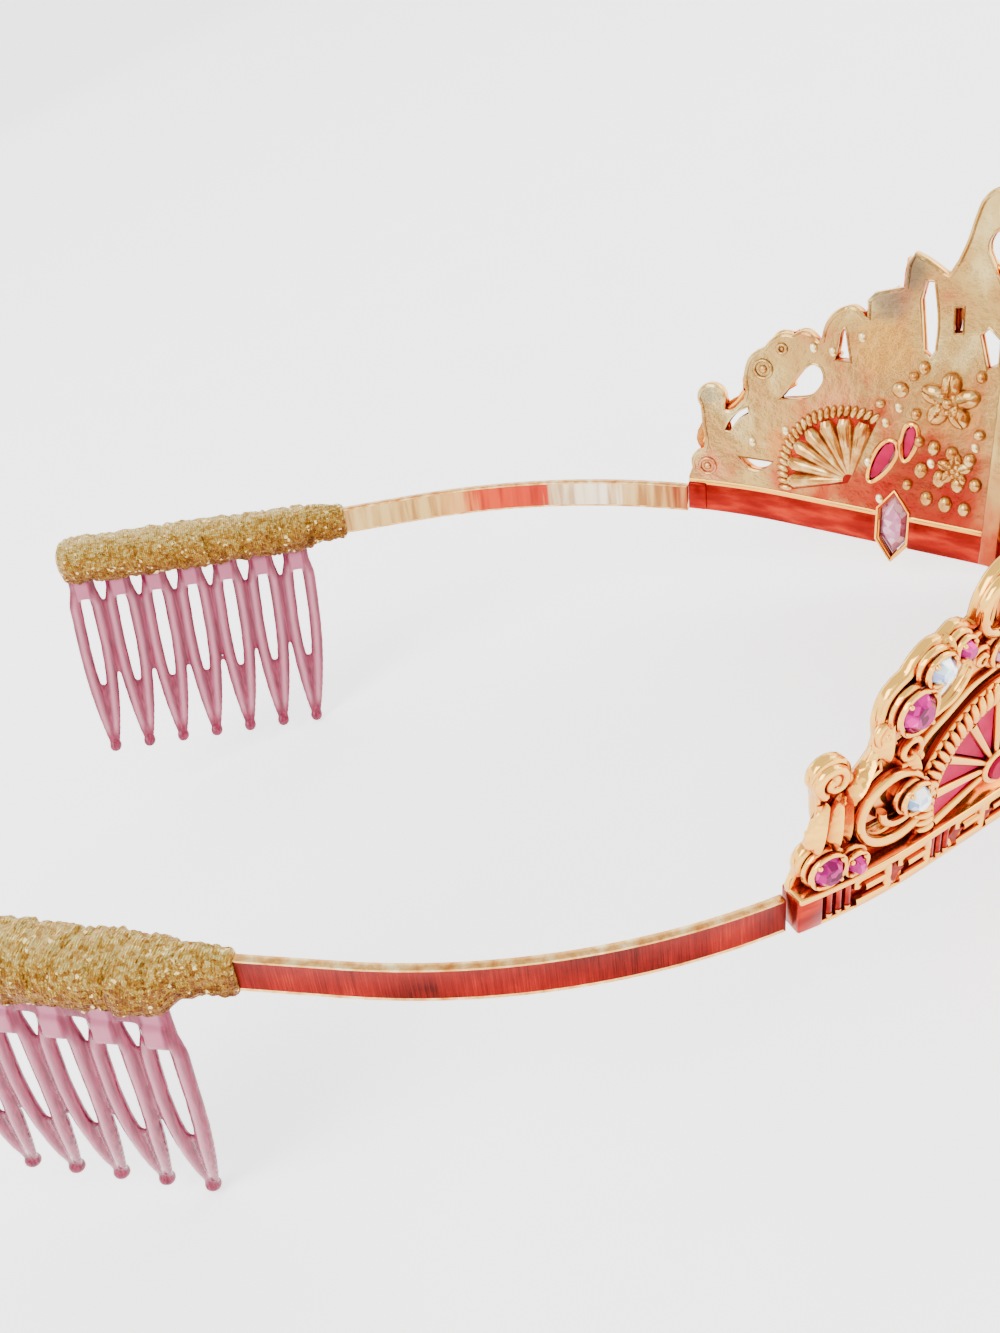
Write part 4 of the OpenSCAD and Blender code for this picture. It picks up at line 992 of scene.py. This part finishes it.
# Settings: soldered or cast cups for the stones, each a wall with a skirt and a collar round the
# stone, which four small beads close in.
#              arc   up   half wide  half high  floor
SETTINGS = {"end_oval": (68.9, 8.4, 1.75, 1.85, 1.3),
            "end_round": (65.5, 7.7, 1.05, 1.15, 1.3),
            "volute_stone": (58.3, 12.9, 1.55, 1.55, 1.5),
            "crest_oval": (59.8, 25, 2.05, 2.25, 1.4),
            "ice_oval": (57.3, 28.9, 1.55, 1.5, 1.3),
            "crest_round": (54.3, 30, 0.95, 1.05, 1.3),
            "arch_stone": (47.8, 26.2, 1.1, 1.3, 0.9),
            "inner_stone": (20.5, 43.2, 1.4, 1.6, 0.9)}
MIDDLE_SETTINGS = {"centre_stone": (0, 31, 4.2, 5.6, 1.2),
                   "top_stone": (0, CREST_MIDDLE, 2.2, 2.2, 1)}
bpy.ops.object.select_all(action='DESELECT')
bpy.ops.mesh.primitive_uv_sphere_add(segments=10, ring_count=7, radius=1)
bead = painted(bpy.context.object, cast_gold)
bead.name = "bead"


def collar(s, z, rw, rh, floor):
    """Collar, cup wall and grains of one setting."""
    rim = tube("collar", ring((rw + 0.28, rh + 0.28), 28), 0.34, 2, True)
    wall = tube("wall", [(0, 0, 0.2), (0, 0, floor)], 1.0, 6)
    skirt = tube("skirt", ring((rw + 0.5, rh + 0.5), 28), 0.42, 2, True)
    parts = [upright(painted(rim, cast_gold), s, z, n=floor + 0.85),
             upright(painted(wall, cast_gold), s, z, size=(rw + 0.55, rh + 0.55, 1)),
             upright(painted(skirt, cast_gold), s, z, n=floor)]
    for turn in (45, 135, 225, 315):
        parts.append(placed(bead, *spoke((rw + 0.1, rh + 0.1), turn, s, z),
                            size=(0.3, 0.3, 0.36), n=floor + 1.2))
    return parts


for setting in SETTINGS.values():
    half += collar(*setting)

# Leaves and scrolls of the relief, each with a raised midrib and side veins.
bpy.ops.object.select_all(action='DESELECT')
bpy.ops.mesh.primitive_grid_add(x_subdivisions=14, y_subdivisions=8, size=1)
leaf = bpy.context.object
leaf.name = "leaf"
co = corners(leaf)
u, v = co[:, 0] + 0.5, 2 * co[:, 1]
width = np.sin(math.pi * np.clip(u, 0, 1) ** 0.75) ** 0.8 * (1 - 0.35 * u)
lift = (1 - 0.55 * np.abs(v) ** 1.4) * (0.55 + 0.45 * np.sin(math.pi * u ** 0.6))
lift += 0.22 * np.exp(-(v / 0.16) ** 2)
lift -= 0.1 * np.cos(10 * math.pi * (u + 0.18 * np.abs(v))) * np.minimum(np.abs(v) * 2.2, 1)
move_corners(leaf, np.stack([u, v * width * 0.62, lift], 1))
only(leaf)
bpy.ops.object.mode_set(mode='EDIT')
bpy.ops.mesh.select_all(action='SELECT')
bpy.ops.mesh.remove_doubles(threshold=0.004)
bpy.ops.mesh.select_all(action='DESELECT')
bpy.ops.mesh.select_non_manifold()
bpy.ops.mesh.extrude_edges_move(TRANSFORM_OT_translate={"value": (0, 0, -0.3)})
bpy.ops.mesh.select_all(action='SELECT')
bpy.ops.mesh.fill_holes(sides=0)
bpy.ops.mesh.normals_make_consistent(inside=False)
bpy.ops.object.mode_set(mode='OBJECT')
painted(leaf, cast_gold)
#          arc   up   turn  long wide rise
LEAVES = [(70.2, 10.8, 101, 6.4, 2.6, 1.5),
          (68.4, 10.9, 96, 7.2, 2, 1.9),
          (67, 11.2, 96, 6, 1.8, 1.7),
          (62.6, 19.6, 94, 5.6, 2.6, 1.5),
          (67, 16.6, 128, 5, 1.6, 1.8),
          (58.7, 27.6, 100, 2.8, 2, 1.5),
          (55.8, 29.4, 95, 2.2, 2, 1.5),
          (58.4, 16.4, 80, 3.4, 1.8, 1.7),
          (43, 31, 82, 7.6, 3.6, 1.7),
          (40.2, 31, 84, 8.6, 3.6, 1.8),
          (37.8, 33, 80, 11, 2.6, 1.8),
          (33.4, 32, 98, 10, 2.6, 1.6),
          (29.4, 31, 80, 9.6, 2.4, 1.5),
          (23, 30, 92, 12, 3, 1.6),
          (12, 37, 75, 10, 4, 1.7),
          (14.6, 27, 60, 9.5, 4.2, 1.8),
          (15.6, 16, 40, 8, 4, 1.7),
          (9.4, 11, 30, 7, 3.2, 1.6),
          (24, 8.4, 120, 6, 2.8, 1.6),
          (27.4, 8, 70, 6.4, 2.8, 1.6),
          (33.6, 8, 100, 5, 2.6, 1.5)]
for s, z, turn, long, wide, rise in LEAVES:
    half.append(placed(leaf, s, z, turn, (long, wide, rise), n=0.5))


SCROLL_CLOSING = 0.85


def scroll(name, s, z, r0, r1, start, sweep, w0, w1, n=0.9, steps=46):
    """A tapered bar rolled up in a spiral."""
    line, size = [], []
    for u in np.arange(steps + 1) / steps:
        line.append((*spoke(r0 + (r1 - r0) * u ** SCROLL_CLOSING, start + sweep * u), 0.5 * u))
        size.append(w0 + (w1 - w0) * u)
    return upright(painted(tube(name, line, size, 3), cast_gold), s, z, n=n, size=(1, 1, 1.25))


#            arc   up   from  to   start sweep  bar sizes
SCROLLS = [(60.3, 12.9, 5.9, 2, 215, 500, 0.74, 0.5),
           (59.2, 19.2, 1.9, 0.5, 300, -500, 0.5, 0.36),
           (68.4, 19.9, 1.9, 0.6, -60, 470, 0.62, 0.4),
           (47.4, 32, 3.6, 3.4, -70, 250, 0.62, 0.5),
           (26, 46.8, 3.6, 3.4, -80, 350, 0.6, 0.5),
           (62.4, 22.6, 1.5, 0.4, 90, -430, 0.42, 0.3),
           (50.2, 26.4, 1.4, 0.4, 30, 470, 0.42, 0.3),
           (44.8, 27.6, 1.6, 0.4, 200, -440, 0.45, 0.32),
           (33, 17.6, 1.9, 0.4, 60, 460, 0.5, 0.34),
           (26.6, 19.4, 1.9, 0.4, 140, -460, 0.5, 0.34),
           (22, 38.6, 1.8, 0.4, 80, 460, 0.48, 0.34),
           (12.6, 45.4, 1.8, 0.4, 100, -460, 0.48, 0.34),
           (10.4, 22, 2, 0.4, 60, 460, 0.5, 0.34)]
for setting in SCROLLS:
    half.append(scroll("scroll", *setting))

# Ribbons of the relief that cross between the motifs.
RIBBONS = [([(67.2, 16.3), (65.9, 17.9), (64.3, 19.4), (63.2, 21.2)], 0.85),
           ([(56.8, 25), (55, 27), (52.8, 28.8), (50.6, 29.8), (49.4, 30.1)], 0.6),
           ([(58.4, 16.4), (56.8, 19), (53.8, 20.7), (50.4, 22.6), (47, 23.4)], 0.55),
           ([(69.8, 12), (69.1, 14.4), (69.6, 17)], 0.5),
           ([(67.7, 12.4), (67.2, 14.8), (67.6, 17.4)], 0.5),
           ([(65.8, 12.6), (65.9, 15), (66.6, 17.6)], 0.42),
           ([(63.4, 20.4), (61, 21.6), (57.6, 22), (55.4, 23.4)], 0.5),
           ([(50.6, 26.6), (48.8, 27.6), (45.6, 28), (43.4, 27.2)], 0.5),
           ([(34, 20.4), (36, 24), (36.2, 28.4), (34.2, 31)], 0.5),
           ([(27.6, 21.4), (26, 25), (26.4, 28.6), (28.6, 31)], 0.5),
           ([(20.5, 12), (18, 20), (18.4, 26), (22, 33), (24.6, 38)], 0.62),
           ([(12, 13), (13.4, 20), (11, 27), (10.6, 35), (13.6, 41)], 0.55)]
for path, width in RIBBONS:
    line = drawn([path], step=0.4)
    half.append(wire("ribbon", line, 0.75, width * np.linspace(1, 0.75, len(line))))

back_bead = twin(bead, "back_bead")
back_bead.data.materials[0] = lump_gold

# Fan: gold ribs between enamelled cells, a twisted rope rim, and a cup at its pivot.
FAN_S, FAN_Z, FAN_R, FAN_CELLS, FAN_FROM, FAN_SPAN = 45.5, 10, 11.9, 5, -20, 130
FAN_TO = FAN_FROM + FAN_SPAN
ROPE_BEADS, BACK_RIBS = 23, 7
rib = painted(tube("rib", [(1.2, 0, 0.3), (FAN_R - 2.4, 0, 0)], [0.34, 0.62], 3), cast_gold)
back_rib = painted(tube("back_rib", [(1.0, 0, 0), (3, 0, 0.12), (8.6, 0, 0.34), (9.6, 0, 0.1)],
                        [0.4, 0.75, 1.5, 1.1], 4), lump_gold)
for k in range(FAN_CELLS + 1):
    turn = FAN_FROM + FAN_SPAN * k / FAN_CELLS
    half.append(placed(rib, FAN_S, FAN_Z, turn, n=1.55))
for k in range(BACK_RIBS):
    turn = FAN_FROM + FAN_SPAN * (k + 0.5) / BACK_RIBS
    half.append(placed(back_rib, FAN_S, FAN_Z, turn, (1, 0.86, 0.9), n=-0.45, front=-1))
for k in range(ROPE_BEADS):
    turn = FAN_FROM + FAN_SPAN * (k + 0.5) / ROPE_BEADS
    half.append(placed(bead, *spoke(FAN_R - 1.25, turn, FAN_S, FAN_Z), turn + 20,
                       (1.5, 0.56, 0.85), n=1.5))
    half.append(placed(back_bead, *spoke(FAN_R - 1.1, turn, FAN_S, FAN_Z), turn + 20,
                       (1.2, 0.52, 0.55), n=-0.6))
for radius, bar, n in ((FAN_R - 2.35, 0.28, 1.7), (FAN_R - 0.2, 0.34, 1.2)):
    line = [(*p, 0) for p in arc(0, 0, radius, FAN_FROM, FAN_TO, 39)]
    half.append(upright(painted(tube("rim", line, bar, 2), cast_gold), FAN_S, FAN_Z, n=n))
pivot = [(0.3, -0.6)]
ground = sheet("fan_ground", [pivot + arc(0, 0, FAN_R - 0.4, FAN_FROM, FAN_TO, 24)], 1.0, 0.15)
cup = tube("cup", ring(1.85, 22), 0.42, 3, True)
# A thin red sheet on the back under the fan: a painted red reflection between its back ribs.
red_reflection_sheet = sheet("red_reflection_sheet", [pivot + arc(0, 0, FAN_R - 1.6, FAN_FROM, FAN_TO, 24)], 0.24, 0.05)
for thing, finish, n in ((ground, cast_gold, 0.7), (cup, cast_gold, 2.1),
                         (red_reflection_sheet, rail_red_reflection_paint, -0.6)):
    half.append(upright(painted(thing, finish), FAN_S, FAN_Z, n=n))

# Blossoms of five cupped petals round a bead of stamens, and single beads, front and back.
#            arc   up    reach  front or back
BLOSSOMS = [(31.6, 24.6, 4.4, 1),
            (29.6, 14.2, 3, 1),
            (31.6, 24.6, 4.3, -1),
            (30, 14.6, 2.6, -1)]
STAMEN_TURN = math.degrees(0.6)
petal = twin(leaf, "petal")
back_petal = twin(leaf, "back_petal")
back_petal.data.materials[0] = lump_gold
for s, z, r, front in BLOSSOMS:
    berry, cupped = (bead, petal) if front > 0 else (back_bead, back_petal)
    for turn in range(90, 450, 72):
        half.append(placed(berry, *spoke(0.58 * r, turn, s, z), turn,
                           (0.46 * r, 0.36 * r, 0.24 * r), n=0.6 * front, front=front))
        half.append(placed(cupped, s, z, turn, (r * 0.95, r * 0.42, 0.25 * r),
                           n=0.75 * front, front=front))
        half.append(placed(berry, *spoke(0.3 * r, turn + STAMEN_TURN, s, z), 0,
                           (0.4, 0.4, 0.4), n=(0.62 + 0.2 * r) * front))
    half.append(placed(berry, s, z, 0, (0.2 * r, 0.2 * r, 0.16 * r), n=(0.6 + 0.2 * r) * front))
#         arc    up    radius
BEADS = [(68.5, 20, 1.15), (66.7, 19.2, 0.8), (40.6, 21.8, 1.1), (38.6, 26, 1.3),
         (34.8, 12.6, 1.2), (24, 14.4, 1.2), (24.6, 20.4, 1.2), (36.6, 22.4, 0.8),
         (35.4, 16.4, 0.8), (57.2, 17.2, 0.7), (61.6, 22.6, 0.6), (41.4, 26.6, 0.9),
         (43.8, 24.6, 0.7), (20.6, 9.4, 1), (16.6, 12.6, 1), (31.4, 41.4, 0.9),
         (28.2, 38, 0.8), (20.4, 30.4, 0.9)]
#              arc   up   half wide  half high
BACK_LUMPS = [(38.8, 25.3, 1.3, 1.3), (37, 27.6, 0.8, 0.8), (36.2, 22, 0.8, 1),
              (33.2, 17.4, 1, 1.3), (30.6, 17, 1, 1.2), (28, 16.4, 1, 1.2),
              (34.8, 13.6, 1.05, 1.4), (32, 12.8, 1.1, 1.5), (29.3, 12.4, 1.05, 1.4),
              (26.8, 12.8, 1, 1.2), (33.6, 9.4, 1, 1.3), (30.8, 9, 1.1, 1.4),
              (28, 8.8, 1, 1.2), (35.4, 18, 0.8, 1), (27, 20.4, 0.9, 0.9),
              (35.6, 29, 0.9, 1.1), (27.6, 28.8, 0.8, 1), (41.6, 22.8, 0.8, 0.8),
              (36.6, 11, 0.8, 1)]
#              arc   up: bright pale spots on the back, given a painted glow
BRIGHT_SPOTS = [(45, 32.2), (49.3, 29.5), (52.3, 29.7), (38.8, 22.6), (40.6, 20), (56.2, 16.1),
              (42.8, 13.4), (40.6, 7.9), (61.6, 13.4), (33.4, 14.9), (27.4, 18.4)]
DIMPLES = [(60.2, 25.4, 1.4), (69, 8.4, 1.3), (57.3, 28.9, 0.7)]
for s, z, r in BEADS:
    half.append(placed(bead, s, z, 0, (r, r, r * 0.9), n=0.75))
for s, z, wide, high in BACK_LUMPS:
    half.append(placed(back_bead, s, z, 0, (wide, high, 0.9), n=-0.5))
for s, z, r in DIMPLES:
    line = [spoke(r, 18 * k, s, z) for k in range(20)]
    half.append(wire("dimple", line, -0.62, 0.26, 2, True, back_gold))
    half.append(placed(back_bead, s, z, 0, (0.5 * r, 0.5 * r, 0.4 * r), n=-0.5))

# Bright pale spots on the back: small glossy ovals with a painted glow.
tree, shader, spot_glow_paint = finish_of("glowing_pale_spot")
place = add(tree, "TexCoord").outputs["Object"]
crease = add(tree, "TexNoise", {"Vector": place, "Scale": 500, "Detail": 2})
shade = add(tree, "ValToRGB", {"Fac": crease}, ramp=[(0.35, "#dcc078"), (0.65, "#fff6cc")])
fill(tree, shader, {"Base Color": shade, "Emission Color": shade, "Emission Strength": 0.15,
                    "Metallic": 0.9, "Roughness": 0.12})
spot = twin(bead, "bright_spot")
spot.data.materials[0] = spot_glow_paint
for s, z in BRIGHT_SPOTS:
    half.append(placed(spot, s, z, -20, (0.62, 0.85, 0.5), n=-0.55))

# Frame round the long six-sided stone that crosses the rail.
FRAME_GROWTH = 1.16
stone_middle = np.array([0, 3.8])
line = (RAIL_STONE_S, 0) + stone_middle + (np.array(RAIL_STONE) - stone_middle) * FRAME_GROWTH
for n, radius in ((2.1, 0.45), (1.1, 0.5), (0, 0.5), (-0.6, 0.22)):
    half.append(wire("frame", line, n, radius, closed=True))

# Back of the middle ornament's frame: an upright beam on each side of it.
half.append(bar_along("beam", -1.7, -0.3, 1.2, 33, 22.2, 24.8, 0.3, back_gold))

for model in (spot, key, star, tile, ridge, foot, leaf, petal, back_petal, rib, back_rib,
              back_bead):
    bpy.data.objects.remove(model)
relief = joined(half, "relief")
store(relief, "facing", [vertex.normal.z for vertex in relief.data.vertices])
keep_flat(relief)
for side, name in ((1, "left"), (-1, "right")):
    piece = twin(relief, "cast_relief_" + name)
    bend(piece, side)
    smooth(piece, 45)
    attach(piece, "root")
    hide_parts("front_casting")
bpy.data.objects.remove(relief)

# Middle ornament: a lotus of plain enamelled petals under the large oval stone, and a round
# stone held in the arch at the top, cast with the halves.
LOTUS_Z, LOTUS_FROM, LOTUS_HEART = 10, 2.2, 2.1
WREATH_OUT, WREATH_BEADS, ARCH_BEADS_R, ARCH_BEADS_TURN = 1.15, 26, 11.4, 8.6
#         turn long
LOTUS = ((28, 8), (59, 9.7), (90, 10.6), (121, 9.7), (152, 8))
middle = []
for turn, long in LOTUS:
    foot = spoke(LOTUS_FROM, turn, 0, LOTUS_Z)
    middle.append(wire("petal_rim", blade_edge(*foot, turn, long, 4), 2.1, 0.42, 2, True))
    inner = sheet("petal_ground", [blade_edge(0, 0, 0, long, 4.4)], 1.9, 0.2)
    middle.append(upright(painted(inner, cast_gold), *foot, turn, n=0.5))
for k in range(9):
    middle.append(placed(bead, *spoke(LOTUS_HEART, 90 + 45 * k, 0, LOTUS_Z), 0,
                         (0.62, 0.62, 0.6), n=2.6))
middle.append(placed(bead, 0, LOTUS_Z, 0, (2.4, 2.4, 1.6), n=1.8))
for setting in MIDDLE_SETTINGS.values():
    middle += collar(*setting)
s, z, rw, rh = MIDDLE_SETTINGS["centre_stone"][:4]
for k in range(WREATH_BEADS):
    turn = 360 * k / WREATH_BEADS
    middle.append(placed(bead, *spoke((rw + WREATH_OUT, rh + WREATH_OUT), turn, s, z), 0,
                         (0.52, 0.52, 0.5), n=1.2))
for k in range(-8, 9):
    turn = 90 + ARCH_BEADS_TURN * k
    middle.append(placed(bead, *spoke(ARCH_BEADS_R, turn, 0, CREST_MIDDLE), 0,
                         (0.6, 0.6, 0.55), n=0.7))
ornament = joined(middle, "middle_ornament")
store(ornament, "facing", [vertex.normal.z for vertex in ornament.data.vertices])
keep_flat(ornament)
bend(ornament)
smooth(ornament, 45)
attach(ornament, "root")
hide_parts("front_casting")
bpy.data.objects.remove(bead)

# Stones. Cut glass set over bright foil, each one closed into its setting. Each facet takes a
# painted brightness, so that single facets light up and others stay dark, and a painted glow. The
# gloss is held back, or the white room would bleach them.
def cut_glass(name, ramp, body, painted_glow):
    """Foiled glass whose facets each take a painted brightness, with a painted glow."""
    tree, shader, made = finish_of(name)
    facet = add(tree, "NewGeometry")
    rounded = add(tree, "VectorMath", {0: facet.outputs["True Normal"], 1: (0.02, 0.02, 0.02)},
                  operation='SNAP')
    chance = add(tree, "TexWhiteNoise", {"Vector": rounded}, noise_dimensions='3D')
    place = add(tree, "TexCoord").outputs["Object"]
    inside = add(tree, "TexVoronoi", {"Vector": place, "Scale": 1100})
    pick = add(tree, "SeparateColor", {"Color": inside.outputs["Color"]})
    both = add(tree, "Mix", {"Factor": 0.45, "A": chance, "B": pick.outputs["Red"]},
               data_type='FLOAT')
    shade = add(tree, "ValToRGB", {"Fac": both}, ramp=ramp)
    fill(tree, shader, {"Base Color": shade, "Emission Color": shade, "Emission Strength": painted_glow,
                        "Metallic": body, "Roughness": 0.05, "Specular IOR Level": 0.15})
    return made


magenta = cut_glass("foiled_magenta_glass", [(0.15, "#4a0028"), (0.35, "#840054"), (0.6, "#a8006e"),
                                             (0.8, "#d00488"), (0.94, "#ff78cc")], 0.4, 0.35)
ice = cut_glass("iridescent_clear_glass", [(0.2, "#6f8fb0"), (0.35, "#b9a7dc"), (0.5, "#a9d3ee"),
                                           (0.65, "#dff3ea"), (0.85, "#ffffff")], 0.3, 0.2)
blush = cut_glass("foiled_blush_glass", [(0.2, "#8a4258"), (0.45, "#a6627a"), (0.65, "#b87a90"),
                                         (0.9, "#dab0bc")], 0.5, 0.1)

# Enamel. Pink stove enamel, flooded into the fans' cells and the petals and baked, so that it lies
# slightly uneven. Its gloss is nearly left out, since the white room would bleach the pink.
tree, shader, enamel = finish_of("pink_stove_enamel")
place = add(tree, "TexCoord").outputs["Object"]
flood = add(tree, "TexNoise", {"Vector": place, "Scale": 260, "Detail": 3})
shade = add(tree, "ValToRGB", {"Fac": flood},
            ramp=[(0.3, "#8e0030"), (0.5, "#a0043a"), (0.7, "#b20c4c")])
dish = add(tree, "Bump", {"Height": flood, "Strength": 0.2, "Distance": 0.0003})
fill(tree, shader, {"Base Color": shade, "Normal": dish, "Roughness": 0.3,
                    "Specular IOR Level": 0.02})
FINISH_BY_SLOT = {"magenta_glass": magenta, "ice_glass": ice, "blush_glass": blush,
                  "pink_enamel": enamel}
for part in frame["record"]["subparts"]:
    if part["material_slot"] in FINISH_BY_SLOT:
        slots = frame["nodes"][part["node"]].data.materials
        slots.clear()
        slots.append(FINISH_BY_SLOT[part["material_slot"]])
